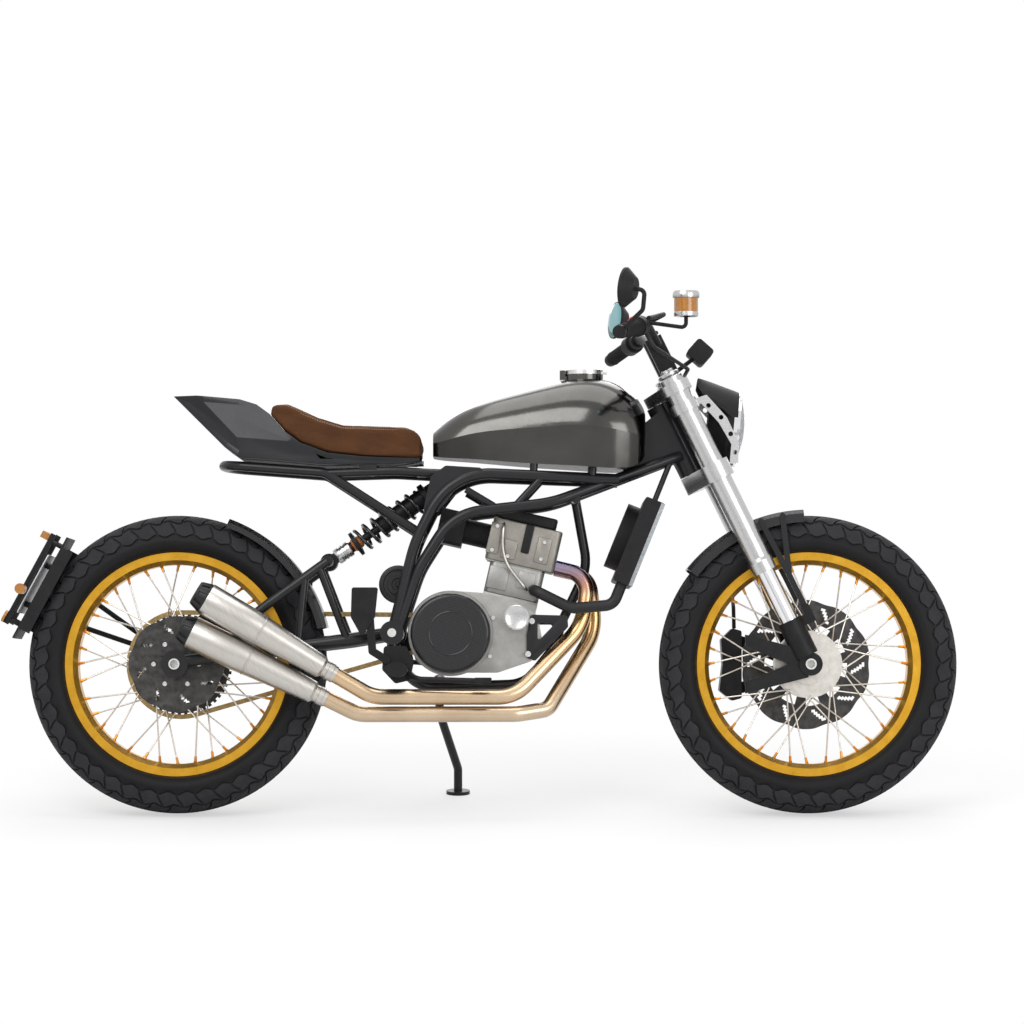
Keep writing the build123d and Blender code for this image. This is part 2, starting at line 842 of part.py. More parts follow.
pivot_boss = rod(
    (pivot_x, -pivot_boss_outer, pivot_z), (pivot_x, -pivot_boss_inner, pivot_z), 2 * pivot_boss_radius
)
radiator_foot = radiator_plane.from_local_coords(Vector(0, -34, radiator_height / 2 + seat_gap))
radiator_lug = rod(radiator_foot, radiator_foot + radiator_up * 100, 12)
tank_floor = Plane((820, 0, 802), x_dir=(0.998, 0, -0.062), z_dir=(0.062, 0, 0.998))
spine_top = Vector(916, 0, 722)


def crosswise(point, half_length, diameter):
    """A round bar across the machine."""
    return rod(point - side_y * half_length, point + side_y * half_length, diameter)


spine_tubes = [
    crosswise(spine_top, 92, cradle_diameter),
    crosswise(shock_top, rail_y, cradle_diameter),
    crosswise(front_mount, case_half_width, cradle_diameter),
    bent_tube([spine_top, (944, 0, 566), front_mount], [120], cradle_diameter),
    rod(steered((0, 0, headstock_low)), steered((0, 0, headstock_high)), headstock_diameter),
]
stand_axis = Vector(0, cos(radians(stand_pivot_tilt)), sin(radians(stand_pivot_tilt)))
eye_inner = stand_pivot - stand_axis * (stand_eye_length / 2)
stand_bracket = rod((stand_pivot.X, 50, 291), eye_inner - stand_axis * 6, 26)
stand_pin = rod(eye_inner - stand_axis * 14, eye_inner + stand_axis * (stand_eye_length + 3), stand_pin_diameter)
with BuildPart() as main_frame:
    for piece in (upper_rail, lower_rail, *braces, cradle, rail_gusset, pivot_boss, radiator_lug):
        add(piece)
    with BuildSketch(tank_floor.offset(-2 * seat_gap)):
        with Locations((0, -95), (135, -86)):
            Circle(9)
    extrude(amount=-22)
    mirror(about=Plane.XZ)
    with BuildSketch(fork_side(headstock_diameter / 2)):
        with BuildLine():
            Polyline((0, 675), (-60, 662), (-143, 576), (-59, 566), (0, 560), close=True)
        make_face()
    extrude(amount=headstock_diameter)
    for piece in (*spine_tubes, stand_bracket, stand_pin):
        add(piece)
    with BuildSketch(steer.offset(headstock_low)):
        Circle(stem_diameter / 2 + shaft_clearance)
    extrude(amount=headstock_high - headstock_low, mode=Mode.SUBTRACT)
    with BuildSketch(Plane.XZ.offset(-pivot_boss_outer)):
        with Locations((pivot_x, pivot_z)):
            Circle(pivot_bolt_diameter / 2 + shaft_clearance)
    extrude(amount=2 * pivot_boss_outer, mode=Mode.SUBTRACT)

# Swingarm with its truss, and the pivot bolt
pivot = Vector(pivot_x, 0, pivot_z)
apex = Vector(apex_x, 0, apex_z)
arm = bent_tube(
    [(pivot_x, -80, pivot_z), (400, -arm_rear_y + 10, 398), (-30, -arm_rear_y, axle_z + 3)],
    [200],
    arm_diameter,
)
truss = bent_tube(
    [(70, -arm_rear_y, 362), (205, -arm_rear_y, 475), (apex_x, -arm_rear_y + 4, apex_z)],
    [300],
    truss_diameter,
)
truss_struts = [
    rod((330, -arm_rear_y + 3, 562), (392, -arm_rear_y + 3, 402), strut_diameter),
    rod((296, -arm_rear_y + 2, 538), (282, -arm_rear_y + 1, 390), strut_diameter),
]
axle_lug = rod((0, -arm_outer, axle_z), (0, -arm_inner, axle_z), 2 * axle_lug_radius)
pivot_tube = crosswise(pivot, pivot_boss_inner - seat_gap, 2 * pivot_tube_radius)
apex_bar = crosswise(apex, arm_rear_y - 4, 2 * apex_bar_radius)
with BuildPart() as swingarm:
    for piece in (arm, truss, *truss_struts, axle_lug):
        add(piece)
    mirror(about=Plane.XZ)
    add(pivot_tube)
    add(apex_bar)
    with BuildSketch(Plane.XZ.offset(-arm_outer)):
        with Locations((pivot_x, pivot_z)):
            Circle(pivot_bolt_diameter / 2 + shaft_clearance)
        with Locations((0, axle_z)):
            Circle(axle_diameter / 2 + shaft_clearance)
    extrude(amount=2 * arm_outer, mode=Mode.SUBTRACT)
pivot_bolt = crosswise(pivot, pivot_boss_outer + pivot_bolt_overhang, pivot_bolt_diameter)

# Rear shock between the truss's cross bar and the frame's cross tube
shock_run = (shock_top - apex).normalized()
shock_length = (shock_top - apex).length
shock_eye_radius, shock_eye_width = 20.0, 48.0
spring_wire, spring_radius, spring_low = 8.4, 27.0, 88.0
# Columns: radius, distance from the lower eye
shock_steps = (
    (13, 16),
    (13, 70),
    (30, 72),
    (30, 80),
    (9, 84),
    (9, 140),
    (22, 142),
    (22, 262),
    (30, 264),
    (30, 276),
    (20, 278),
    (20, shock_length - 14),
)
with BuildPart() as rear_shock:
    with BuildSketch(Plane(apex, x_dir=side_y, z_dir=side_y.cross(shock_run))):
        with BuildLine():
            Polyline((0, 16), *shock_steps, (0, shock_length - 14), close=True)
        make_face()
    revolve(axis=Axis(apex, shock_run))
    with BuildSketch(Plane.XZ.offset(-shock_eye_width / 2)):
        with Locations((apex.X, apex.Z), (shock_top.X, shock_top.Z)):
            Circle(shock_eye_radius)
    extrude(amount=shock_eye_width)
    with BuildSketch(Plane.XZ.offset(-shock_eye_width / 2)):
        with Locations((apex.X, apex.Z)):
            Circle(apex_bar_radius + shaft_clearance)
        with Locations((shock_top.X, shock_top.Z)):
            Circle(cradle_diameter / 2 + shaft_clearance)
    extrude(amount=shock_eye_width, mode=Mode.SUBTRACT)
with BuildPart() as shock_spring:
    with BuildLine() as coil:
        Helix(pitch=24, height=166, radius=spring_radius, center=apex + shock_run * spring_low, direction=shock_run)
    with BuildSketch(Plane(coil.line @ 0, z_dir=coil.line % 0)):
        Circle(spring_wire / 2)
    sweep(path=coil.line, is_frenet=True)

# Rear hugger, carried by two lugs on the truss
hugger_lug_angle, hugger_lug_inset = 56.3, 9.5
hugger_lug = rear_axle + Vector(0, 0, guard_radius - hugger_lug_inset).rotate(Axis.Y, hugger_lug_angle)
hugger = make_guard(rear_axle, 20.0, 56.0, 18.0)
with BuildPart() as rear_hugger:
    add(hugger)
    for side in (1, -1):
        with BuildSketch(Plane.XZ.offset(side * (guard_half + 1))):
            with Locations((hugger_lug.X, hugger_lug.Z)):
                Circle(8)
        extrude(amount=side * (arm_rear_y - 2.6 - truss_diameter / 2 - seat_gap - guard_half - 1))

# Seat frame
seat_rail_y = rail_y - rail_diameter / 2 - cradle_diameter / 2 - seat_gap
seat_pad_top = 800.0 - seat_gap
seat_loop = bent_tube(
    [
        (568, -seat_rail_y, 636),
        (340, -seat_rail_y, 782),
        (112, -seat_rail_y + 6, 799),
        (104, 0, 800),
    ],
    [40, 60],
    cradle_diameter,
)
seat_rail = bent_tube([(346, -seat_rail_y, 780), (500, -seat_rail_y, 785), (622, -seat_rail_y, 778)], [300], 20)
with BuildPart() as seat_frame:
    add(seat_loop)
    add(seat_rail)
    with Locations((440, -seat_rail_y, seat_pad_top)):
        Box(40, 20, 12, align=(Align.CENTER, Align.CENTER, Align.MAX))
    mirror(about=Plane.XZ)
    with Locations((440, 0, 785), (560, 0, 782)):
        Box(20, 2 * seat_rail_y, 8)

# Tail unit and seat
deck = [(214, 916), (249, 876), (286, 849), (348, 826), (428, 818), (562, 815)]
tail_floor = seat_pad_top + seat_gap
tail_half, tail_end_half, tail_nose_half = 112.0, 62.0, 92.0
tail_top_half, tail_waist_z, tail_top_z = 86.0, 862.0, 964.0
seat_half = 104.0
with BuildPart() as tail_unit:
    with BuildSketch(Plane.XZ):
        with BuildLine():
            Polyline(
                (-8, 958),
                (46, 959),
                (145, 950),
                (184, 938),
                *deck,
                (562, 808),
                (500, tail_floor),
                (333, tail_floor),
                (239, 809),
                (145, 816),
                (112, 839),
                close=True,
            )
        make_face()
    extrude(amount=tail_half, both=True)
    with BuildSketch(Plane.XY.offset(700)):
        with BuildLine():
            Polyline(
                (-20, -tail_end_half),
                (140, -tail_half),
                (330, -tail_half),
                (580, -tail_nose_half),
                (580, tail_nose_half),
                (330, tail_half),
                (140, tail_half),
                (-20, tail_end_half),
                close=True,
            )
        make_face()
    extrude(amount=400, mode=Mode.INTERSECT)
    with BuildSketch(Plane((-40, 0, 0), x_dir=side_y, z_dir=(1, 0, 0))):
        with BuildLine():
            Polyline(
                (-tail_half, 700),
                (-tail_half, tail_waist_z),
                (-tail_top_half, tail_top_z),
                (tail_top_half, tail_top_z),
                (tail_half, tail_waist_z),
                (tail_half, 700),
                close=True,
            )
        make_face()
    extrude(amount=640, mode=Mode.INTERSECT)
seat_top = [(566, 862), (548, 881), (475, 884), (381, 888), (324, 905), (250, 938), (216, 938)]
with BuildPart() as seat_pad:
    with BuildSketch(Plane.XZ):
        with BuildLine():
            Polyline(*[(x, z + 2 * seat_gap) for x, z in deck], *seat_top, close=True)
        make_face()
    extrude(amount=seat_half, both=True)

# Tank with its filler neck and hinge ears
# Columns: station X, floor Z, shoulder Z, crown Z, half width
tank_sections = (
    (588, 820, 850, 874, 62),
    (640, 815, 862, 916, 84),
    (760, 806, 880, 963, 104),
    (900, 797, 888, 998, 128),
    (1000, 791, 880, 992, 132),
    (1056, 800, 868, 958, 108),
    (1076, 830, 870, 926, 76),
)
floor_share, arc_share, arc_rise = 0.92, 0.72, 0.74
neck_top = filler_seat_z + filler_ring_height
hinge_x = filler_x - filler_radius - 6
hinge_z = neck_top + 6
hinge_pin_radius = 2.5
knuckle_width, ear_width = 17.0, 8.0
ear_y = knuckle_width / 2 + 0.5 + ear_width / 2
yoke_room = yoke_blank(upper_yoke_low, upper_yoke_thickness, upper_stem_wall, steer_clearance)
yoke_sweep = [
    yoke_room.rotate(Axis(steer.origin, steer.z_dir), steer_limit * share) for share in (-1, -0.75, 0.75, 1)
]
head_tunnel = side_plate([(1020, 770), (1058, 900), (1110, 942), (1110, 770)], -34, 34)
with BuildPart() as tank:
    for station, floor_z, shoulder_z, crown_z, half in tank_sections:
        with BuildSketch(Plane((station, 0, 0), x_dir=side_y, z_dir=(1, 0, 0))):
            with BuildLine():
                arc_y, arc_z = half * arc_share, shoulder_z + (crown_z - shoulder_z) * arc_rise
                Line((-half * floor_share, floor_z), (half * floor_share, floor_z))
                Line((half * floor_share, floor_z), (half, shoulder_z))
                ThreePointArc((half, shoulder_z), (arc_y, arc_z), (0, crown_z))
                ThreePointArc((0, crown_z), (-arc_y, arc_z), (-half, shoulder_z))
                Line((-half, shoulder_z), (-half * floor_share, floor_z))
            make_face()
    loft()
    add(head_tunnel, mode=Mode.SUBTRACT)
    for room in yoke_sweep:
        add(room, mode=Mode.SUBTRACT)
    with BuildSketch(Plane((filler_x, 0, filler_seat_z - neck_root))):
        Circle(filler_radius)
    extrude(amount=filler_ring_height + neck_root)
    with BuildSketch(Plane((filler_x, 0, filler_seat_z))):
        Circle(filler_radius - filler_neck_wall)
    extrude(amount=filler_ring_height, mode=Mode.SUBTRACT)
    with Locations((hinge_x + 4, 0, hinge_z - 14)):
        Box(20, 2 * ear_y + ear_width, 7)
    with Locations((hinge_x, ear_y, hinge_z - 11), (hinge_x, -ear_y, hinge_z - 11)):
        Box(12, ear_width, 14, align=(Align.CENTER, Align.CENTER, Align.MIN))
    with BuildSketch(Plane.XZ.offset(-ear_y)):
        with Locations((hinge_x, hinge_z)):
            Circle(hinge_pin_radius)
    extrude(amount=2 * ear_y)

# Filler lid on its hinge
lid_base = neck_top + seat_gap
with BuildPart() as filler_lid:
    with BuildSketch(Plane((filler_x, 0, lid_base))):
        Circle(filler_radius)
    extrude(amount=10)
    with BuildSketch(Plane((filler_x, 0, lid_base + 10))):
        Circle(filler_radius)
    extrude(amount=8, taper=55)
    with Locations((filler_x + filler_radius, 0, lid_base + 3)):
        Box(18, 20, 4)
    with Locations((hinge_x + 5, 0, hinge_z)):
        Box(22, knuckle_width, 8)
    with BuildSketch(Plane.XZ.offset(-knuckle_width / 2)):
        with Locations((hinge_x, hinge_z)):
            Circle(hinge_pin_radius * 2)
    extrude(amount=knuckle_width)
    with BuildSketch(Plane.XZ.offset(-knuckle_width / 2)):
        with Locations((hinge_x, hinge_z)):
            Circle(hinge_pin_radius + shaft_clearance)
    extrude(amount=knuckle_width, mode=Mode.SUBTRACT)

# Engine
case_outline = [
    (548, 350),
    (542, 404),
    (562, 478),
    (622, 511),
    (700, 506),
    (762, 492),
    (828, 456),
    (838, 402),
    (818, 352),
    (736, 324),
    (592, 324),
]
left_outline = [(664, 340), (654, 470), (700, 500), (762, 488), (824, 454), (834, 402), (814, 354), (736, 330)]
case_body = side_plate(case_outline, -case_half_width, case_chain_side, 22)
case_left = side_plate(left_outline, case_chain_side - 1, case_half_width, 20)
stator_cover = rod((732, case_half_width, 402), (732, case_half_width + 16, 402), 124)
output_shaft = rod(
    front_sprocket + side_y * (case_chain_side - 1),
    front_sprocket + side_y * (chain_y + sprocket_thickness / 2 + 8),
    26,
)
output_sprocket = rod(
    front_sprocket + side_y * (chain_y - sprocket_thickness / 2),
    front_sprocket + side_y * (chain_y + sprocket_thickness / 2),
    2 * (front_pitch_radius - chain_height / 2 - seat_gap),
)
engine_axis = Axis(engine.origin, engine_up)
with BuildPart() as crankcase:
    for piece in (case_body, case_left, stator_cover, output_shaft, output_sprocket):
        add(piece)
    with Locations(engine.location * Location((8, 0, 0))):
        Box(barrel_length, barrel_width, barrel_base, align=(Align.CENTER, Align.CENTER, Align.MIN))
    with BuildSketch(Plane.XZ.offset(case_half_width - 1)):
        with Locations((clutch_x, clutch_z)):
            Circle(clutch_radius + 5)
    extrude(amount=clutch_ring_depth + 1)
    with BuildSketch(Plane.XZ.offset(case_half_width - 1)):
        with Locations((780, 449)):
            Circle(30)
    extrude(amount=26)
with BuildPart(engine) as cylinder_barrel:
    with Locations((8, 0, barrel_base)):
        Box(barrel_length, barrel_width, barrel_height, align=(Align.CENTER, Align.CENTER, Align.MIN))
    fillet(cylinder_barrel.edges().filter_by(engine_axis), 16)
head_low = barrel_base + barrel_height
head_top = head_low + head_height
with BuildPart(engine) as cylinder_head:
    with Locations((11, 0, head_low)):
        Box(head_length, head_width, head_height, align=(Align.CENTER, Align.CENTER, Align.MIN))
    fillet(cylinder_head.edges().filter_by(engine_axis), 14)
with BuildPart(engine) as cam_cover:
    with Locations((6, 0, head_top)):
        Box(head_length - 24, head_width - 16, cam_cover_height, align=(Align.CENTER, Align.CENTER, Align.MIN))
    fillet(cam_cover.edges().filter_by(engine_axis), 14)
with BuildPart() as clutch_cover:
    with BuildSketch(Plane.XZ.offset(case_half_width + clutch_ring_depth)):
        with Locations((clutch_x, clutch_z)):
            Circle(clutch_radius)
    extrude(amount=clutch_depth)
    fillet(clutch_cover.edges().sort_by(Axis.Y)[0], 10)

# Intake: throttle body and airbox behind the head
intake_start = engine.from_local_coords(Vector(11 - head_length / 2 - seat_gap, 0, head_low + 52))
intake_run = -engine.x_dir
airbox_plane = Plane(intake_start + intake_run * 60, x_dir=side_y, z_dir=intake_run)
throttle_body = rod(intake_start, intake_start + intake_run * 62, 58)
with BuildPart() as intake:
    with Locations(airbox_plane.location):
        Box(150, 80, 60, align=(Align.CENTER, Align.CENTER, Align.MIN))
    fillet(intake.edges().filter_by(Axis(airbox_plane.origin, intake_run)), 14)
    add(throttle_body)

# Engine plates at the front
plate_outline = [(813, 456), (896, 454), (898, 428), (824, 352), (803, 356), (803, 408)]
plate_window = [(828, 436), (868, 436), (828, 394)]
plate_inner = case_half_width + seat_gap
front_plate = side_plate(plate_outline, -plate_inner - 6, -plate_inner, 6)
front_window = side_plate(plate_window, -plate_inner - 6, -plate_inner, 4)
with BuildPart() as engine_plates:
    add(front_plate)
    add(front_window, mode=Mode.SUBTRACT)
    mirror(about=Plane.XZ)

# Radiator with its fan housing, and the lower hose
with BuildPart(radiator_plane) as radiator:
    Box(radiator_thickness, radiator_width, radiator_height)
    fillet(radiator.edges().filter_by(Axis.Y), 5)
    with Locations((-radiator_thickness / 2, 0, 0)):
        Cylinder(78, 60, rotation=(0, 90, 0))
hose_start = radiator_plane.from_local_coords(Vector(0, -95, -radiator_height / 2 - seat_gap))
coolant_hose = bent_tube(
    [
        hose_start,
        hose_start - radiator_up * 52,
        Vector(905, -96, 470),
        Vector(820, -98, 512),
        Vector(820, -barrel_width / 2 - seat_gap, 512),
    ],
    [30, 60, 24],
    26,
)

# Exhaust: two header pipes into two tapered silencers
port_height = 150.0
port_x = 11 + head_length / 2 + seat_gap
upper_inlet = Vector(368, -160, 318)
upper_outlet = Vector(53, -197, 505)
lower_inlet = Vector(348, -150, 264)
lower_outlet = Vector(17, -173, 428)


def make_header(port_y, bends, radii, inlet, outlet, lead):
    """A header, from its port square out and into its silencer in line."""
    start = engine.from_local_coords(Vector(port_x, port_y, port_height))
    run = (outlet - inlet).normalized()
    route = [start, start + engine.x_dir * 80, *bends, inlet - run * lead, inlet - run * seat_gap]
    return bent_tube(route, radii, pipe_diameter)


upper_header = make_header(
    -36, [Vector(930, -50, 430), Vector(775, -118, 268)], [52, 120, 90, 90], upper_inlet, upper_outlet, 98
)
lower_header = make_header(
    36,
    [Vector(962, 28, 420), Vector(852, -84, 240), Vector(782, -116, 229)],
    [52, 110, 40, 60, 80],
    lower_inlet,
    lower_outlet,
    80,
)
with BuildPart() as exhaust_pipes:
    add(upper_header)
    add(lower_header)


def make_muffler(inlet, outlet):
    """A silencer: a short sleeve, a cone and a cylinder, then an open tapered cap."""
    run = (outlet - inlet).normalized()
    across = run.cross(Vector(0, 0, 1)).normalized()
    length = (outlet - inlet).length - muffler_cap_depth
    cap_low = length + seat_gap
    cap_top = length + muffler_cap_depth
    # Columns: radius, distance from the inlet
    body_steps = (
        (0, 0),
        (pipe_diameter / 2 + 2, 0),
        (pipe_diameter / 2 + 2, 30),
        (pipe_diameter / 2 + 8, 36),
        (muffler_radius, length * 0.66),
        (muffler_radius, length),
        (0, length),
    )
    cap_steps = (
        (0, cap_low),
        (muffler_radius - 2, cap_low),
        (muffler_radius - 10, cap_top),
        (muffler_radius - 18, cap_top),
        (muffler_radius - 18, cap_low + 6),
        (0, cap_low + 6),
    )
    shells = []
    for steps in (body_steps, cap_steps):
        with BuildPart() as shell:
            with BuildSketch(Plane(inlet, x_dir=across, z_dir=across.cross(run))):
                with BuildLine():
                    Polyline(*steps, close=True)
                make_face()
            revolve(axis=Axis(inlet, run))
        shells.append(shell.part)
    return shells


silencers = make_muffler(upper_inlet, upper_outlet) + make_muffler(lower_inlet, lower_outlet)
with BuildPart() as mufflers:
    for piece in silencers:
        add(piece)

# Number plate holder behind the rear tyre, carried from the left axle lug
holder_top, holder_low = Vector(-247, 0, 632), Vector(-371, 0, 402)
holder_run = (holder_low - holder_top).normalized()
holder_length = (holder_low - holder_top).length
holder_half = tyre_width / 2 + 14
holder_plane = Plane((holder_top + holder_low) / 2, x_dir=side_y, z_dir=side_y.cross(holder_run))
holder_foot = strap([(0, axle_z), (-72, 386)], 44, arm_outer + seat_gap, arm_outer + seat_gap + 6)
holder_arms = [
    rod((-64, arm_outer + 4, 388), (-284, holder_half - 2, 548), 12),
    rod((-66, arm_outer + 4, 374), (-322, holder_half - 2, 462), 12),
]
holder_edges = [holder_plane.location * Location((side * (holder_half - 2), 0, 0)) for side in (1, -1)]
lamp_bar_z, lamp_bar_y, lamp_bar_size = 30.0, 52.0, 12.0
stalk_length, signal_length = 46.0, 40.0
plate_width, plate_height, plate_z = 180.0, 150.0, 20.0
bar_posts = [
    holder_plane.location * Location((side * lamp_bar_y, end, 0)) for side in (1, -1) for end in (-104, 98)
]
lamp_bars = [holder_plane.location * Location((side * lamp_bar_y, -6, lamp_bar_z)) for side in (1, -1)]
signal_stalks = [
    rod(
        holder_plane.from_local_coords(Vector(side * (lamp_bar_y + 4), 22, lamp_bar_z + 6)),
        holder_plane.from_local_coords(Vector(side * (lamp_bar_y + stalk_length), 22, lamp_bar_z + 6)),
        10,
    )
    for side in (1, -1)
]
plate_posts = [
    holder_plane.location * Location((side * plate_width / 4, end, 0)) for side in (1, -1) for end in (-50, 50)
]
with BuildPart() as plate_holder:
    with Locations(holder_plane.location):
        Box(2 * holder_half, holder_length, 4, align=(Align.CENTER, Align.CENTER, Align.MIN))
    with Locations(*holder_edges):
        Box(4, holder_length * 0.8, 26, align=(Align.CENTER, Align.CENTER, Align.MAX))
    for piece in (holder_foot, *holder_arms, *signal_stalks):
        add(piece)
    with Locations(*bar_posts):
        Cylinder(5, lamp_bar_z, align=(Align.CENTER, Align.CENTER, Align.MIN))
    with Locations(*lamp_bars):
        Box(lamp_bar_size, 232, lamp_bar_size, align=(Align.CENTER, Align.CENTER, Align.MIN))
    with Locations(*plate_posts):
        Cylinder(6, plate_z - seat_gap, align=(Align.CENTER, Align.CENTER, Align.MIN))
    with BuildSketch(Plane.XZ.offset(-arm_outer - seat_gap - 6)):
        with Locations((0, axle_z)):
            Circle(axle_diameter / 2 + 1)
    extrude(amount=6, mode=Mode.SUBTRACT)

# Blank number plate, then the signals on their stalks, the plate lamp and the reflector
with BuildPart() as number_plate:
    with Locations(holder_plane.location * Location((0, 0, plate_z))):
        Box(plate_width, plate_height, 2, align=(Align.CENTER, Align.CENTER, Align.MIN))
    fillet(number_plate.edges().filter_by(Axis(holder_plane.origin, holder_plane.z_dir)), 10)
lamp_face = lamp_bar_z + lamp_bar_size + seat_gap
with BuildPart() as rear_lamps:
    for side in (1, -1):
        signal_y = lamp_bar_y + stalk_length + seat_gap + signal_length / 2
        with Locations(holder_plane.location * Location((side * signal_y, 22, lamp_bar_z + 6))):
            Cylinder(12, signal_length, rotation=(0, 90, 0))
        with Locations(holder_plane.location * Location((side * lamp_bar_y, 96, lamp_face))):
            Cylinder(15, 6, align=(Align.CENTER, Align.CENTER, Align.MIN))
    with Locations(holder_plane.location * Location((0, -110, lamp_face))):
        Box(2 * lamp_bar_y, 16, 20, align=(Align.CENTER, Align.CENTER, Align.MIN))

# Rear caliper beside the disc, seated on the swingarm
rear_caliper_in = disc_plane - 8.0
rear_caliper_out = arm_inner - 4.0
rear_caliper_outline = [(62, 352), (122, 356), (146, 404), (116, 452), (74, 474), (44, 444), (66, 396)]
rear_caliper_body = side_plate(rear_caliper_outline, -rear_caliper_out, -rear_caliper_in, 8)
with BuildPart() as rear_caliper:
    add(rear_caliper_body)
    with BuildSketch(Plane.XZ.offset(disc_plane - 2)):
        with Locations((rear_axle.X, rear_axle.Z)):
            Circle(rear_disc_radius + 6)
    extrude(amount=disc_thickness + 4, mode=Mode.SUBTRACT)

# Horn on a stud from the right upper rail
horn_x, horn_z, horn_radius, horn_depth = 509.0, 525.0, 45.0, 36.0
horn_face = rail_y - rail_diameter / 2 - 10.0
rail_stud = (524.0, 525.0)
with BuildPart() as horn:
    with BuildSketch(Plane.XZ.offset(horn_face)):
        with Locations((horn_x, horn_z)):
            Circle(horn_radius)
    extrude(amount=-horn_depth, taper=14)
    fillet(horn.edges().sort_by(Axis.Y)[0], 4)
    with BuildSketch(Plane.XZ.offset(horn_face - 4)):
        with Locations(rail_stud):
            Circle(6)
    extrude(amount=14.9 - seat_gap)

# Foot pegs on hanger plates, outside the cradle's end on the right and outside the pivot bolt on the left,
# where the folded stand passes below; then the heel plate and the pedals
hanger_face = cradle_end_y + cradle_diameter / 2 + seat_gap
hanger_outline = [(478, 384), (528, 384), (546, 350), (538, 306), (504, 298), (474, 330)]
hanger_wall = 8.0
hanger_out = hanger_face + hanger_wall
right_hanger = side_plate(hanger_outline, -hanger_out, -hanger_face, 8)
left_face = pivot_boss_outer + pivot_bolt_overhang + seat_gap
left_out = left_face + hanger_wall
left_outline = [(480, 440), (520, 440), (540, 350), (532, 312), (500, 312), (476, 380)]
left_hanger = side_plate(left_outline, left_face, left_out, 8)
heel_outline = [(405, 517), (465, 517), (458, 449), (428, 404), (403, 449)]
heel_plate = side_plate(heel_outline, -pivot_boss_outer - 12, -pivot_boss_outer - 8, 5)
heel_arm = strap([(446, 452), (452, 372), (484, 352)], 18, -pivot_boss_outer - 8.5, -pivot_boss_outer + 2)
peg_length = 86.0
with BuildPart() as pegs:
    for side, root in ((1, hanger_out), (-1, left_out)):
        with BuildSketch(Plane.XZ.offset(side * (root - 2))):
            with Locations((508, 330)):
                Ellipse(26, 17)
        extrude(amount=side * peg_length)
brake_pedal = bent_tube([(530, -hanger_out + 3, 318), (560, -hanger_out - 16, 308), (702, -166, 304)], [20], 13)
pedal_pad = side_plate([(684, 298), (722, 300), (724, 312), (684, 312)], -184, -150, 3)
gear_lever = bent_tube([(530, left_out - 3, 350), (560, left_out + 10, 348), (668, left_out + 16, 352)], [20], 12)
gear_tip = rod((668, left_out + 8, 352), (668, left_out + 52, 352), 20)
with BuildPart() as foot_controls:
    for piece in (right_hanger, left_hanger, pegs.part, heel_arm, heel_plate):
        add(piece)
    for piece in (brake_pedal, pedal_pad, gear_lever, gear_tip):
        add(piece)

# Side stand: eye, leg and a foot that lies flat when the machine leans
lean_sin, lean_cos = sin(radians(lean_angle)), cos(radians(lean_angle))
tread_low = min(
    tyre_height * (1 - rise) * lean_cos - share * tyre_width / 2 * lean_sin for share, rise in tyre_section
)
ground_up = Vector(0, -lean_sin, lean_cos)
tread_z = axle_z - tyre_radius
stand_foot = Vector(stand_foot_x, stand_foot_y, tread_z + (tread_low + stand_foot_y * lean_sin) / lean_cos)
stand_leg = bent_tube(
    [stand_pivot + stand_axis * 6, stand_pivot + Vector(0, 36, -70), stand_foot + ground_up * 60, stand_foot + ground_up * 4],
    [40, 20],
    stand_leg_diameter,
)
with BuildPart() as side_stand:
    add(stand_leg)
    with BuildSketch(Plane(eye_inner, z_dir=stand_axis)):
        Circle(stand_eye_radius)
    extrude(amount=stand_eye_length)
    with BuildSketch(Plane(stand_foot, z_dir=ground_up)):
        Circle(stand_foot_radius)
    extrude(amount=stand_foot_thickness)
    with BuildSketch(Plane(eye_inner, z_dir=stand_axis)):
        Circle(stand_pin_diameter / 2 + shaft_clearance)
    extrude(amount=stand_eye_length + 12, mode=Mode.SUBTRACT)

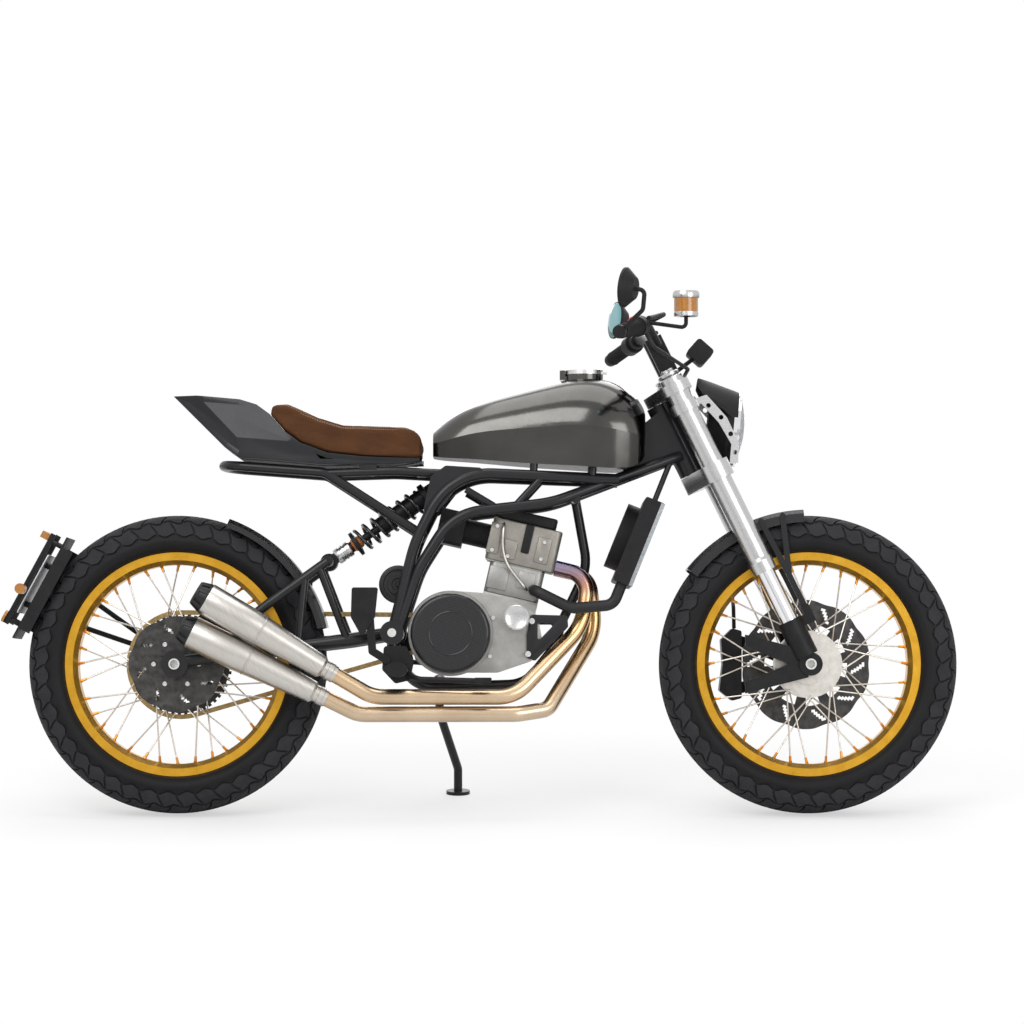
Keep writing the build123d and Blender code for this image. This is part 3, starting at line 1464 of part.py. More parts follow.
# The bodies that move as one, each with its pieces
bodies = {
    "frame": {
        "main_frame": main_frame.part,
        "swingarm": swingarm.part,
        "pivot_bolt": pivot_bolt,
        "rear_axle": rear_spindle,
        "rear_shock": rear_shock.part,
        "shock_spring": shock_spring.part,
        "seat_frame": seat_frame.part,
        "tail_unit": tail_unit.part,
        "seat_pad": seat_pad.part,
        "tank": tank.part,
        "crankcase": crankcase.part,
        "cylinder_barrel": cylinder_barrel.part,
        "cylinder_head": cylinder_head.part,
        "cam_cover": cam_cover.part,
        "clutch_cover": clutch_cover.part,
        "intake": intake.part,
        "engine_plates": engine_plates.part,
        "radiator": radiator.part,
        "coolant_hose": coolant_hose,
        "exhaust_pipes": exhaust_pipes.part,
        "mufflers": mufflers.part,
        "rear_hugger": rear_hugger.part,
        "plate_holder": plate_holder.part,
        "drive_chain": drive_chain.part,
        "foot_controls": foot_controls.part,
        "rear_caliper": rear_caliper.part,
        "number_plate": number_plate.part,
        "rear_lamps": rear_lamps.part,
        "horn": horn.part,
    },
    "steering": {
        "fork_outer_tubes": fork_outer_tubes.part,
        "fork_inner_tubes": fork_inner_tubes.part,
        "axle_clamps": axle_clamps.part,
        "front_axle": front_spindle,
        "upper_yoke": upper_yoke.part,
        "lower_yoke": lower_yoke.part,
        "front_caliper": front_caliper.part,
        "bar_risers": bar_risers.part,
        "handlebar": handlebar,
        "grips": grips,
        "bar_controls": bar_controls.part,
        "mirrors": mirrors.part,
        "headlight_shell": headlight_shell.part,
        "headlight_lens": headlight_lens.part,
        "light_brackets": light_brackets.part,
        "instrument_box": instrument_box.part,
        "brake_reservoir": brake_reservoir.part,
        "brake_hose": brake_hose,
        "front_mudguard": front_mudguard,
        "mudguard_stays": mudguard_stays.part,
    },
    "front_wheel": {
        "front_tyre": front_tyre,
        "front_rim": front_rim,
        "front_hub": front_hub,
        "front_disc": front_disc,
    },
    "rear_wheel": {
        "rear_tyre": rear_tyre,
        "rear_rim": rear_rim,
        "rear_hub": rear_hub,
        "rear_disc": rear_disc,
        "rear_sprocket": rear_sprocket.part,
    },
    "side_stand": {"side_stand": side_stand.part},
    "filler_lid": {"filler_lid": filler_lid.part},
}

# The lean onto the stand, then the origin under the middle of the machine's box
leaning = Location((0, 0, 0), (-lean_angle, 0, 0))
leaned = [leaning * part for group in bodies.values() for part in group.values()]
boxes = [part.bounding_box() for part in leaned]
low = [min(getattr(box.min, axis) for box in boxes) for axis in "XYZ"]
high = [max(getattr(box.max, axis) for box in boxes) for axis in "XYZ"]
parked = Location((-(low[0] + high[0]) / 2, -(low[1] + high[1]) / 2, -low[2])) * leaning

os.makedirs("parts", exist_ok=True)
for group in bodies.values():
    for name, part in group.items():
        placed = parked * part
        placed.label = name
        export_step(placed, f"parts/{name}.step")
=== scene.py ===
import bpy
import math
import numpy
from mathutils import Matrix, Vector


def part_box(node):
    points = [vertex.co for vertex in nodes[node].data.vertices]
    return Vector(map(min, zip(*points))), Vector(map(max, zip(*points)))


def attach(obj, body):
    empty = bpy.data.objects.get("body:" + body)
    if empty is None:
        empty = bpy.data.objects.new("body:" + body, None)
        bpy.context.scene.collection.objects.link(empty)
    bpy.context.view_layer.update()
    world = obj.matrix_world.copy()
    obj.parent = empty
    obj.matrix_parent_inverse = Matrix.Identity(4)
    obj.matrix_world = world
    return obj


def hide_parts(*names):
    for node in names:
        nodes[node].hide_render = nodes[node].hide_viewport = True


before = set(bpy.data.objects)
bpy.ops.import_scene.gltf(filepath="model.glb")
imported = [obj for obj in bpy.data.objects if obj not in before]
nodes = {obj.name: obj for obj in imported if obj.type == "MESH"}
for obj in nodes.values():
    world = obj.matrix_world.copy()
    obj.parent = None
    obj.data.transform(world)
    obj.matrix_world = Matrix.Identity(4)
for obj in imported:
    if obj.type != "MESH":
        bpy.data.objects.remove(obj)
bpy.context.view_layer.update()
bpy.ops.object.select_all(action="DESELECT")
print("frame loaded:", len(nodes), "nodes")

# the machine leans on its stand: upright millimetres from under the rear axle become row metres
bike = {"lean": 9.0, "tyreRadius": 343.0, "wheelbase": 1451.0, "rake": 26.0, "forkOffset": 45.0}
axleLow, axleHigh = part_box("rear_axle")
axleCentre = (Vector(axleLow) + Vector(axleHigh)) / 2
bikeToRow = (
    Matrix.Translation(axleCentre)
    @ Matrix.Rotation(math.radians(-bike["lean"]), 4, "X")
    @ Matrix.Translation((0, 0, -bike["tyreRadius"] / 1000))
)


def onBike(x, y, z):
    return bikeToRow @ Vector((x / 1000, y / 1000, z / 1000))


rakeX, rakeZ = math.sin(math.radians(bike["rake"])), math.cos(math.radians(bike["rake"]))
stemX = bike["wheelbase"] - rakeZ * bike["forkOffset"]
stemFoot = Vector((stemX, 0, bike["tyreRadius"] - rakeX * bike["forkOffset"]))


def onFork(ahead, y, up):  # ahead of the stem and up along it, to upright millimetres
    return stemFoot + Vector((rakeZ * ahead - rakeX * up, y, rakeX * ahead + rakeZ * up))


# camera, world, floor and lamps
camera = {
    "distance": 10.0, "rise": 6.6, "metresPerPixel": 0.00231, "pixels": 1024, "sensor": 36.0, "clipEnd": 60,
    "target": (769.5, 0, 694.8),
}
aim = onBike(*camera["target"])
rise = math.radians(camera["rise"])
eye = aim + Vector((0, -math.cos(rise), math.sin(rise))) * camera["distance"]
bpy.ops.object.camera_add(location=eye, rotation=(math.pi / 2 - rise, 0, 0))
view = bpy.context.object
view.data.sensor_width = camera["sensor"]
view.data.lens = camera["sensor"] * camera["distance"] / (camera["pixels"] * camera["metresPerPixel"])
view.data.clip_end = camera["clipEnd"]
bpy.context.scene.camera = view
bpy.context.scene.view_settings.view_transform = "Standard"


def nodeTree(owner):
    owner.use_nodes = True
    owner.node_tree.nodes.clear()
    return owner.node_tree


def addNode(tree, kind, values=None, **settings):  # values by socket name or number
    node = tree.nodes.new(kind)
    for key, value in settings.items():
        if key in node.inputs:
            node.inputs[key].default_value = value
        else:
            setattr(node, key, value)
    for key, value in (values or {}).items():
        node.inputs[key].default_value = value
    return node


def wire(tree, *links):  # each from a node's output to a node's input
    for source, output, target, entry in links:
        tree.links.new(source.outputs[output], target.inputs[entry])


def backdropStrength(tree):  # 1 for camera, glossy and transmission rays
    path = addNode(tree, "ShaderNodeLightPath")
    first = addNode(tree, "ShaderNodeMath", operation="MAXIMUM")
    second = addNode(tree, "ShaderNodeMath", operation="MAXIMUM")
    wire(
        tree, (path, "Is Camera Ray", first, 0), (path, "Is Glossy Ray", first, 1), (first, 0, second, 0),
        (path, "Is Transmission Ray", second, 1),
    )
    return path, second


studio = {
    "ambient": 0.50, "floorSize": 40, "floorColour": (0.90, 0.90, 0.90, 1), "floorLift": 0.56,
    "fadeFrom": 0.9, "fadeTo": 2.6, "white": (1, 1, 1, 1),
}
world = bpy.context.scene.world or bpy.data.worlds.new("studio")
bpy.context.scene.world = world
tree = nodeTree(world)
_, backdrop = backdropStrength(tree)
strength = addNode(tree, "ShaderNodeMapRange", {"To Min": studio["ambient"], "To Max": 1.0})
sky = addNode(tree, "ShaderNodeBackground", Color=studio["white"])
skyOut = addNode(tree, "ShaderNodeOutputWorld")
wire(
    tree, (backdrop, 0, strength, "Value"), (strength, "Result", sky, "Strength"), (sky, 0, skyOut, 0),
)

bpy.ops.mesh.primitive_plane_add(size=studio["floorSize"], location=(0, 0, 0))
floor = bpy.context.object
floor.name = "studio_floor"
floorPaint = bpy.data.materials.new("floor_pale")
tree = nodeTree(floorPaint)
path, _ = backdropStrength(tree)
matt = addNode(tree, "ShaderNodeBsdfDiffuse", Color=studio["floorColour"])
glow = addNode(tree, "ShaderNodeEmission", Color=studio["white"], Strength=1.0)
coords = addNode(tree, "ShaderNodeTexCoord")
away = addNode(tree, "ShaderNodeVectorMath", operation="LENGTH")
fadeValues = {"From Min": studio["fadeFrom"], "From Max": studio["fadeTo"], "To Min": studio["floorLift"]}
fade = addNode(tree, "ShaderNodeMapRange", fadeValues, interpolation_type="SMOOTHSTEP")
seen = addNode(tree, "ShaderNodeMath", operation="MULTIPLY")
blend = addNode(tree, "ShaderNodeMixShader")
floorOut = addNode(tree, "ShaderNodeOutputMaterial")
wire(
    tree, (coords, "Object", away, 0), (away, "Value", fade, "Value"), (path, "Is Camera Ray", seen, 0),
    (fade, "Result", seen, 1), (seen, 0, blend, 0), (matt, 0, blend, 1), (glow, 0, blend, 2),
    (blend, 0, floorOut, 0),
)
floor.data.materials.append(floorPaint)

lamps = {  # place, size in metres, watts
    "key": ((-1.6, -3.2, 3.6), 2.6, 95),
    "fill": ((2.8, -3.4, 1.8), 2.2, 55),
    "top": ((0.2, 0.4, 4.2), 3.2, 70),
    "rim": ((0.4, 3.6, 2.4), 2.8, 50),
}
for name, (place, size, watts) in lamps.items():
    bpy.ops.object.light_add(type="AREA", location=place)
    lamp = bpy.context.object
    lamp.name = "lamp_" + name
    lamp.data.size = size
    lamp.data.energy = watts
    lamp.rotation_euler = (aim - Vector(place)).to_track_quat("-Z", "Y").to_euler()
print("studio set")


# shared effects, each with a mask for colour and roughness and a height for bump
def effectGroup(name, inputs):
    group = bpy.data.node_groups.new(name, "ShaderNodeTree")
    for socket, first in inputs.items():
        made = group.interface.new_socket(socket, in_out="INPUT", socket_type="NodeSocketFloat")
        made.default_value = first
    for socket in ("Mask", "Height"):
        group.interface.new_socket(socket, in_out="OUTPUT", socket_type="NodeSocketFloat")
    start, end = addNode(group, "NodeGroupInput"), addNode(group, "NodeGroupOutput")
    return group, start, end, addNode(group, "ShaderNodeTexCoord")


# mottle: soft patches and a fine grain
mottle, start, end, spot = effectGroup("mottle", {"Patch Scale": 14, "Grain Scale": 300, "Grain Share": 0.4})
patch = addNode(mottle, "ShaderNodeTexNoise", Detail=4.0, Roughness=0.6)
grain = addNode(mottle, "ShaderNodeTexNoise", Detail=2.0, Roughness=0.5)
mixed = addNode(mottle, "ShaderNodeMix", data_type="FLOAT")
wire(
    mottle, (spot, "Object", patch, "Vector"), (start, "Patch Scale", patch, "Scale"),
    (spot, "Object", grain, "Vector"), (start, "Grain Scale", grain, "Scale"),
    (start, "Grain Share", mixed, 0), (patch, 0, mixed, 2), (grain, 0, mixed, 3), (mixed, 0, end, "Mask"),
    (grain, 0, end, "Height"),
)

# brushed: long fine streaks along one axis
brushed, start, end, spot = effectGroup("brushed", {"Across": 900, "Along": 14, "Turn": 0.0})
turn = addNode(brushed, "ShaderNodeVectorRotate", rotation_type="Y_AXIS")
stretch = addNode(brushed, "ShaderNodeVectorMath", operation="MULTIPLY")
stretchBy = addNode(brushed, "ShaderNodeCombineXYZ")
streak = addNode(brushed, "ShaderNodeTexNoise", Scale=1.0, Detail=3.0, Roughness=0.6)
wire(
    brushed, (spot, "Object", turn, "Vector"), (start, "Turn", turn, "Angle"), (turn, 0, stretch, 0),
    (start, "Along", stretchBy, "X"), (start, "Across", stretchBy, "Y"),
    (start, "Across", stretchBy, "Z"), (stretchBy, 0, stretch, 1), (stretch, 0, streak, "Vector"),
    (streak, 0, end, "Mask"), (streak, 0, end, "Height"),
)

# weave: the light and dark squares of a twill, on the side view
twill = {"flatten": (1, 0.6, 1), "threadShare": 0.6, "threadMix": 0.4}
weave, start, end, spot = effectGroup("weave", {"Thread": 260, "Turn": 0.6})
turn = addNode(weave, "ShaderNodeVectorRotate", rotation_type="Y_AXIS")
flat = addNode(weave, "ShaderNodeVectorMath", {1: twill["flatten"]}, operation="MULTIPLY")
checks = addNode(weave, "ShaderNodeTexChecker", Color1=(1, 1, 1, 1), Color2=(0, 0, 0, 1))
threads = addNode(weave, "ShaderNodeTexWave", bands_direction="DIAGONAL", Distortion=0.0)
finerBy = addNode(weave, "ShaderNodeMath", {1: twill["threadShare"]}, operation="MULTIPLY")
both = addNode(weave, "ShaderNodeMix", data_type="FLOAT")
both.inputs[0].default_value = twill["threadMix"]
wire(
    weave, (spot, "Object", turn, "Vector"), (start, "Turn", turn, "Angle"), (turn, 0, flat, 0),
    (flat, 0, checks, "Vector"), (flat, 0, threads, "Vector"), (start, "Thread", checks, "Scale"),
    (start, "Thread", finerBy, 0), (finerBy, 0, threads, "Scale"), (checks, "Fac", both, 2),
    (threads, "Fac", both, 3), (both, 0, end, "Mask"), (threads, "Fac", end, "Height"),
)
coatRough = 0.08


# one finish: the effect's own values in the order of its inputs, then colours, roughness and relief
def finish(
    name, group, groupValues, light, dark, rough,
    metal=0.0, bump=0.1, depth=0.0004, coat=0.0, contrast=(0.3, 0.7), shine=0.5,
):
    material = bpy.data.materials.new(name)
    tree = nodeTree(material)
    effect = addNode(tree, "ShaderNodeGroup", node_tree=group)
    for socket, value in zip(effect.inputs, groupValues):
        socket.default_value = value
    ramp = addNode(tree, "ShaderNodeValToRGB")
    for stop, position, colour in zip(ramp.color_ramp.elements, contrast, (dark, light)):
        stop.position, stop.color = position, (*colour, 1)
    gloss = addNode(tree, "ShaderNodeMapRange", {"To Min": rough[0], "To Max": rough[1]})
    relief = addNode(tree, "ShaderNodeBump", Strength=bump, Distance=depth)
    coating = {"Coat Weight": coat, "Specular IOR Level": shine, "Coat Roughness": coatRough}
    shader = addNode(tree, "ShaderNodeBsdfPrincipled", coating, Metallic=metal)
    out = addNode(tree, "ShaderNodeOutputMaterial")
    wire(
        tree, (effect, "Mask", ramp, 0), (effect, "Mask", gloss, "Value"),
        (effect, "Height", relief, "Height"), (ramp, 0, shader, "Base Color"),
        (gloss, 0, shader, "Roughness"), (relief, 0, shader, "Normal"), (shader, 0, out, 0),
    )
    return material


rubberTread = finish("rubber_tread", mottle, (30, 900), (0.036, 0.036, 0.039), (0.02, 0.02, 0.022),
    (0.62, 0.8), bump=0.35, shine=0.1)
rubberWall = finish("rubber_wall", mottle, (12, 500), (0.014, 0.014, 0.015), (0.009, 0.009, 0.01),
    (0.45, 0.6), bump=0.1, shine=0.12)
goldRim = finish("gold_anodised", mottle, (40, 1200), (0.66, 0.36, 0.035), (0.5, 0.25, 0.015), (0.24, 0.34),
    metal=0.85, bump=0.04)
spokeSteel = finish("spoke_steel", mottle, (60, 900), (0.72, 0.69, 0.64), (0.5, 0.47, 0.43), (0.22, 0.36),
    metal=1.0, bump=0.03)
hubBlack = finish("hub_black", mottle, (50, 900), (0.07, 0.07, 0.072), (0.035, 0.035, 0.036), (0.32, 0.5),
    metal=0.7, bump=0.05)
discSteel = finish("disc_steel", brushed, (60, 60), (0.08, 0.078, 0.076), (0.036, 0.035, 0.034),
    (0.35, 0.5), metal=0.9, bump=0.04)
satinBlack = finish("satin_black", mottle, (30, 700), (0.014, 0.014, 0.016), (0.008, 0.008, 0.009),
    (0.3, 0.42), bump=0.05, coat=0.25, shine=0.18)
machinedBlack = finish("machined_black", mottle, (40, 1100), (0.022, 0.022, 0.023), (0.011, 0.011, 0.012),
    (0.36, 0.55), metal=0.5, bump=0.06, shine=0.2)
mouldedBlack = finish("moulded_black", mottle, (60, 1400), (0.017, 0.017, 0.018), (0.009, 0.009, 0.01),
    (0.45, 0.62), bump=0.18, shine=0.16)
zincBolt = finish("zinc_bolt", mottle, (80, 1500), (0.74, 0.74, 0.72), (0.52, 0.52, 0.51), (0.25, 0.4),
    metal=1.0, bump=0.05)
rawSteel = finish("raw_tank_steel", mottle, (5, 220, 0.15), (0.1, 0.096, 0.088), (0.05, 0.05, 0.048),
    (0.12, 0.22), metal=1.0, bump=0.012, coat=0.3)
tailPaint = finish("tail_grey", mottle, (6, 1200, 0.25), (0.026, 0.027, 0.029), (0.013, 0.0135, 0.015),
    (0.24, 0.32), metal=0.25, bump=0.01, coat=0.12, shine=0.22)
castAlloy = finish("cast_alloy", mottle, (26, 1000, 0.55), (0.4, 0.395, 0.38), (0.2, 0.195, 0.185),
    (0.38, 0.56), metal=0.85, bump=0.35)
headAlloy = finish("warm_cast_alloy", mottle, (24, 1000, 0.55), (0.34, 0.32, 0.29), (0.17, 0.16, 0.14),
    (0.4, 0.58), metal=0.85, bump=0.35)
carbonWeave = finish("carbon_weave", weave, (420,), (0.026, 0.027, 0.028), (0.004, 0.004, 0.005),
    (0.28, 0.4), metal=0.2, bump=0.25, depth=0.0003, coat=0.4, contrast=(0.2, 0.8), shine=0.2)
silverTube = finish("satin_silver", brushed, (700, 700, 0.45), (0.6, 0.6, 0.595), (0.46, 0.46, 0.46),
    (0.22, 0.32), metal=1.0, bump=0.02)
chromeTube = finish("hard_chrome", mottle, (30, 600), (0.78, 0.78, 0.8), (0.7, 0.7, 0.72), (0.06, 0.12),
    metal=1.0, bump=0.01)
gripRubber = finish("grip_rubber", mottle, (60, 1600), (0.016, 0.016, 0.016), (0.009, 0.009, 0.009),
    (0.6, 0.8), bump=0.4, shine=0.2)
hoseRubber = finish("hose_rubber", mottle, (40, 900), (0.016, 0.016, 0.017), (0.009, 0.009, 0.01),
    (0.42, 0.55), bump=0.12, shine=0.3)
amberPlastic = finish("amber_plastic", mottle, (60, 400), (0.46, 0.19, 0.022), (0.3, 0.11, 0.01),
    (0.12, 0.22), bump=0.02, coat=0.5)
chainGold = finish("chain_gold", mottle, (90, 900), (0.52, 0.37, 0.15), (0.22, 0.15, 0.07), (0.3, 0.5),
    metal=0.9, bump=0.1)
springBlack = finish("spring_black", mottle, (60, 900), (0.012, 0.012, 0.013), (0.007, 0.007, 0.007),
    (0.2, 0.3), bump=0.02, coat=0.5, shine=0.5)
coreAlloy = finish("radiator_core", brushed, (1400, 30, 0.38), (0.42, 0.45, 0.47), (0.16, 0.17, 0.18),
    (0.45, 0.6), metal=0.4, bump=0.5)
headerSteel = finish("header_steel", mottle, (9, 600, 0.2), (1.0, 1.0, 1.0), (0.8, 0.78, 0.76), (0.2, 0.32),
    metal=1.0, bump=0.02)
canSteel = finish("can_steel", brushed, (40, 1500, 0.53), (0.6, 0.575, 0.54), (0.44, 0.42, 0.39),
    (0.26, 0.4), metal=1.0, bump=0.05)
platePale = finish("plate_pale", mottle, (20, 900), (0.66, 0.67, 0.68), (0.52, 0.53, 0.54), (0.3, 0.42),
    metal=0.3, bump=0.03)
seatLeather = finish("seat_leather", mottle, (16, 520, 0.5), (0.088, 0.035, 0.013), (0.046, 0.017, 0.006),
    (0.6, 0.75), bump=0.45, depth=0.0006, shine=0.12)
seatSuede = finish("seat_suede", mottle, (22, 900, 0.6), (0.054, 0.022, 0.009), (0.026, 0.01, 0.004),
    (0.66, 0.86), bump=0.5, depth=0.0005, shine=0.08)
threadTan = finish("thread_tan", mottle, (90, 1600), (0.4, 0.24, 0.11), (0.27, 0.15, 0.07), (0.5, 0.7),
    bump=0.3)
capBlack = finish("cap_black", mottle, (50, 1000), (0.03, 0.03, 0.031), (0.014, 0.014, 0.015), (0.34, 0.5),
    metal=0.4, bump=0.08, shine=0.3)
nippleGold = finish("nipple_gold", mottle, (120, 1500), (0.8, 0.36, 0.05), (0.55, 0.2, 0.02), (0.25, 0.4),
    metal=0.9, bump=0.05)
redPlastic = finish("red_plastic", mottle, (60, 800), (0.7, 0.02, 0.018), (0.48, 0.01, 0.01), (0.2, 0.32),
    bump=0.03)
orangeRubber = finish("orange_rubber", mottle, (60, 900), (0.62, 0.2, 0.04), (0.42, 0.12, 0.02), (0.5, 0.7),
    bump=0.2)
mirrorGlass = finish("mirror_glass", mottle, (8, 300, 0.1), (0.22, 0.44, 0.46), (0.14, 0.33, 0.36),
    (0.03, 0.06), metal=1.0, bump=0.004)

# header pipes: straw to blue with height
heatTint = {
    "low": 0.22, "high": 0.58,
    "stops": (
        (0.0, (0.62, 0.50, 0.37)),
        (0.40, (0.66, 0.47, 0.28)),
        (0.68, (0.70, 0.43, 0.18)),
        (0.88, (0.46, 0.25, 0.20)),
        (1.0, (0.28, 0.27, 0.42)),
    ),
}


def shaderOf(tree):
    return next(node for node in tree.nodes if node.type == "BSDF_PRINCIPLED")


tree = headerSteel.node_tree
spot = addNode(tree, "ShaderNodeTexCoord")
apart = addNode(tree, "ShaderNodeSeparateXYZ")
climb = addNode(tree, "ShaderNodeMapRange", {"From Min": heatTint["low"], "From Max": heatTint["high"]})
tint = addNode(tree, "ShaderNodeValToRGB")
for index, (position, colour) in enumerate(heatTint["stops"]):
    stop = tint.color_ramp.elements[index] if index < 2 else tint.color_ramp.elements.new(position)
    stop.position, stop.color = position, (*colour, 1)
dull = addNode(tree, "ShaderNodeMix", data_type="RGBA", blend_type="MULTIPLY")
dull.inputs[0].default_value = 1.0
steel = shaderOf(tree)
grime = steel.inputs["Base Color"].links[0].from_node
wire(
    tree, (spot, "Object", apart, 0), (apart, "Z", climb, "Value"), (climb, 0, tint, 0),
    (tint, 0, dull, 6), (grime, 0, dull, 7), (dull, 2, steel, "Base Color"),
)

# tank and tail: undersides painted near black as painted shade, and also made fully rough and not metallic;
# value, kind of mix, its two inputs and its output
undersideShade = {
    "from": -0.75, "to": -0.9,
    "looks": {
        "Base Color": ((0.004, 0.004, 0.004, 1), "RGBA", 6, 7, 2),
        "Roughness": (1.0, "FLOAT", 2, 3, 0),
        "Metallic": (0.0, "FLOAT", 2, 3, 0),
    },
}
# painted shade: where the normal points down, each of these finishes mixes to a near black base colour
for painted in (rawSteel, tailPaint):
    tree = painted.node_tree
    paint = shaderOf(tree)
    facing = addNode(tree, "ShaderNodeNewGeometry")
    apart = addNode(tree, "ShaderNodeSeparateXYZ")
    shadeBelow = addNode(tree, "ShaderNodeMapRange", {"From Min": undersideShade["from"], "From Max": undersideShade["to"]})
    wire(tree, (facing, "Normal", apart, 0), (apart, "Z", shadeBelow, "Value"))
    for socket, (value, kind, above, below, result) in undersideShade["looks"].items():
        target = paint.inputs[socket]
        mix = addNode(tree, "ShaderNodeMix", data_type=kind)
        if target.links:
            tree.links.new(target.links[0].from_socket, mix.inputs[above])
        else:
            mix.inputs[above].default_value = target.default_value
        mix.inputs[below].default_value = value
        wire(tree, (shadeBelow, 0, mix, 0), (mix, result, paint, socket))

lens = {"Base Color": (0.86, 0.90, 0.92, 1), "Transmission Weight": 0.85, "Roughness": 0.04}
lensGlass = bpy.data.materials.new("lens_glass")
tree = nodeTree(lensGlass)
shader = addNode(tree, "ShaderNodeBsdfPrincipled", lens)
ripple = addNode(tree, "ShaderNodeTexNoise", Scale=240.0, Detail=1.0)
relief = addNode(tree, "ShaderNodeBump", Strength=0.08, Distance=0.0005)
out = addNode(tree, "ShaderNodeOutputMaterial")
wire(
    tree, (ripple, 0, relief, "Height"), (relief, 0, shader, "Normal"), (shader, 0, out, 0),
)
print("finishes made")


def paintOver(piece, *materials):
    piece.data.materials.clear()
    for material in materials:
        piece.data.materials.append(material)


nodeFinish = {}
for material, names in (
    (rubberWall, "front_tyre rear_tyre"),
    (goldRim, "front_rim rear_rim"),
    (spokeSteel, "front_hub rear_hub"),
    (discSteel, "front_disc rear_disc"),
    (hubBlack, "rear_sprocket"),
    (zincBolt, "front_axle rear_axle pivot_bolt filler_lid"),
    (satinBlack, "main_frame swingarm seat_frame side_stand engine_plates mudguard_stays"),
    (mouldedBlack, "plate_holder cam_cover intake radiator"),
    (mouldedBlack, "bar_controls mirrors headlight_shell instrument_box horn"),
    (machinedBlack, "rear_shock foot_controls axle_clamps front_caliper bar_risers handlebar rear_caliper"),
    (springBlack, "shock_spring"),
    (tailPaint, "tail_unit"),
    (rawSteel, "tank"),
    (castAlloy, "crankcase cylinder_barrel"),
    (headAlloy, "cylinder_head"),
    (carbonWeave, "clutch_cover rear_hugger front_mudguard"),
    (hoseRubber, "coolant_hose brake_hose"),
    (headerSteel, "exhaust_pipes"),
    (canSteel, "mufflers"),
    (chainGold, "drive_chain"),
    (silverTube, "fork_outer_tubes upper_yoke lower_yoke light_brackets"),
    (chromeTube, "fork_inner_tubes"),
    (gripRubber, "grips"),
    (lensGlass, "headlight_lens"),
    (amberPlastic, "brake_reservoir rear_lamps"),
    (platePale, "number_plate"),
    (seatLeather, "seat_pad"),
):
    for name in names.split():
        nodeFinish[name] = material
        paintOver(nodes[name], material)
print("frame finished")

# every new piece is modelled upright in metres, then leaned, named and hung on its body
upAxis, right = Vector((0, 0, 1)), Vector((0, -1, 0))
rowToBike = bikeToRow.inverted()


def mode(name):
    bpy.ops.object.mode_set(mode=name)


def selectMesh(action):
    bpy.ops.mesh.select_all(action=action)


def selectOnly(*pieces):
    bpy.ops.object.select_all(action="DESELECT")
    for piece in pieces:
        piece.select_set(True)
    bpy.context.view_layer.objects.active = pieces[0]


def hang(piece, name, body, replaced=(), angle=35):  # for a piece already in row metres
    selectOnly(piece)
    bpy.ops.object.shade_smooth_by_angle(angle=math.radians(angle))
    piece.name = name
    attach(piece, body)
    if replaced:
        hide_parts(*replaced)
    piece.select_set(False)
    return piece


def settle(piece, name, body, material=None, angle=35, replaced=()):
    selectOnly(piece)
    piece.matrix_world = bikeToRow @ piece.matrix_world
    bpy.ops.object.transform_apply(location=True, rotation=True, scale=True)
    if material:
        paintOver(piece, material)
    return hang(piece, name, body, replaced, angle)


def joinAll(pieces):
    selectOnly(*pieces)
    bpy.ops.object.join()
    return bpy.context.object


def latheProfile(centre, profile, steps, axis=(0, 1, 0), closed=True):
    # profile of (along the axis, radius) in millimetres, drawn by extruding one point and spun round the axis
    if closed and profile[0] != profile[-1] and max(profile[0][1], profile[-1][1]) > 0:
        profile = profile + profile[:1]
    along = Vector(axis).normalized()
    outward = upAxis if tuple(axis) == (0, 1, 0) else along.orthogonal().normalized()
    places = [Vector(centre) / 1000 + along * (a / 1000) + outward * (r / 1000) for a, r in profile]
    bpy.context.tool_settings.mesh_select_mode = (True, False, False)
    bpy.ops.mesh.primitive_plane_add(size=0.01, location=(0, 0, 0))
    piece = bpy.context.object
    mode("EDIT")
    selectMesh("SELECT")
    bpy.ops.mesh.merge(type="CENTER")
    bpy.ops.transform.translate(value=places[0])
    for before, after in zip(places, places[1:]):
        bpy.ops.mesh.extrude_region_move(TRANSFORM_OT_translate={"value": after - before})
    selectMesh("SELECT")
    bpy.ops.mesh.spin(steps=steps, angle=2 * math.pi, center=Vector(centre) / 1000, axis=along)
    selectMesh("SELECT")
    bpy.ops.mesh.remove_doubles(threshold=0.00002)
    bpy.ops.mesh.normals_make_consistent(inside=False)
    mode("OBJECT")
    return piece


def spread(master, matrices):  # one modelled piece, copied to each place with its own mesh, then joined
    copies = []
    for matrix in matrices:
        copy = master.copy()
        copy.data = master.data.copy()
        copy.matrix_world = matrix
        bpy.context.collection.objects.link(copy)
        copies.append(copy)
    bpy.data.objects.remove(master, do_unlink=True)
    return joinAll(copies)


def turnedTo(direction):  # the piece's own Z along the direction
    return Vector(direction).to_track_quat("Z", "Y").to_matrix().to_4x4()


def pointing(place, direction):  # place in upright millimetres
    return Matrix.Translation(Vector(place) / 1000) @ turnedTo(direction)


def selectFaces(piece, wanted):  # leaves the piece in edit mode
    selectOnly(piece)
    bpy.context.tool_settings.mesh_select_mode = (False, False, True)
    mode("EDIT")
    selectMesh("DESELECT")
    mode("OBJECT")
    piece.data.polygons.foreach_set("select", numpy.asarray(wanted, dtype=bool))
    mode("EDIT")


def pushOut(distance):  # the selected faces, out along their normals
    bpy.ops.mesh.extrude_region_shrink_fatten(TRANSFORM_OT_shrink_fatten={"value": distance})
    mode("OBJECT")


def block(measures):  # in millimetres, about the origin
    bpy.ops.mesh.primitive_cube_add(size=1, location=(0, 0, 0))
    bpy.ops.transform.resize(value=[measure / 1000 for measure in measures])
    bpy.ops.object.transform_apply(location=False, rotation=False, scale=True)
    return bpy.context.object


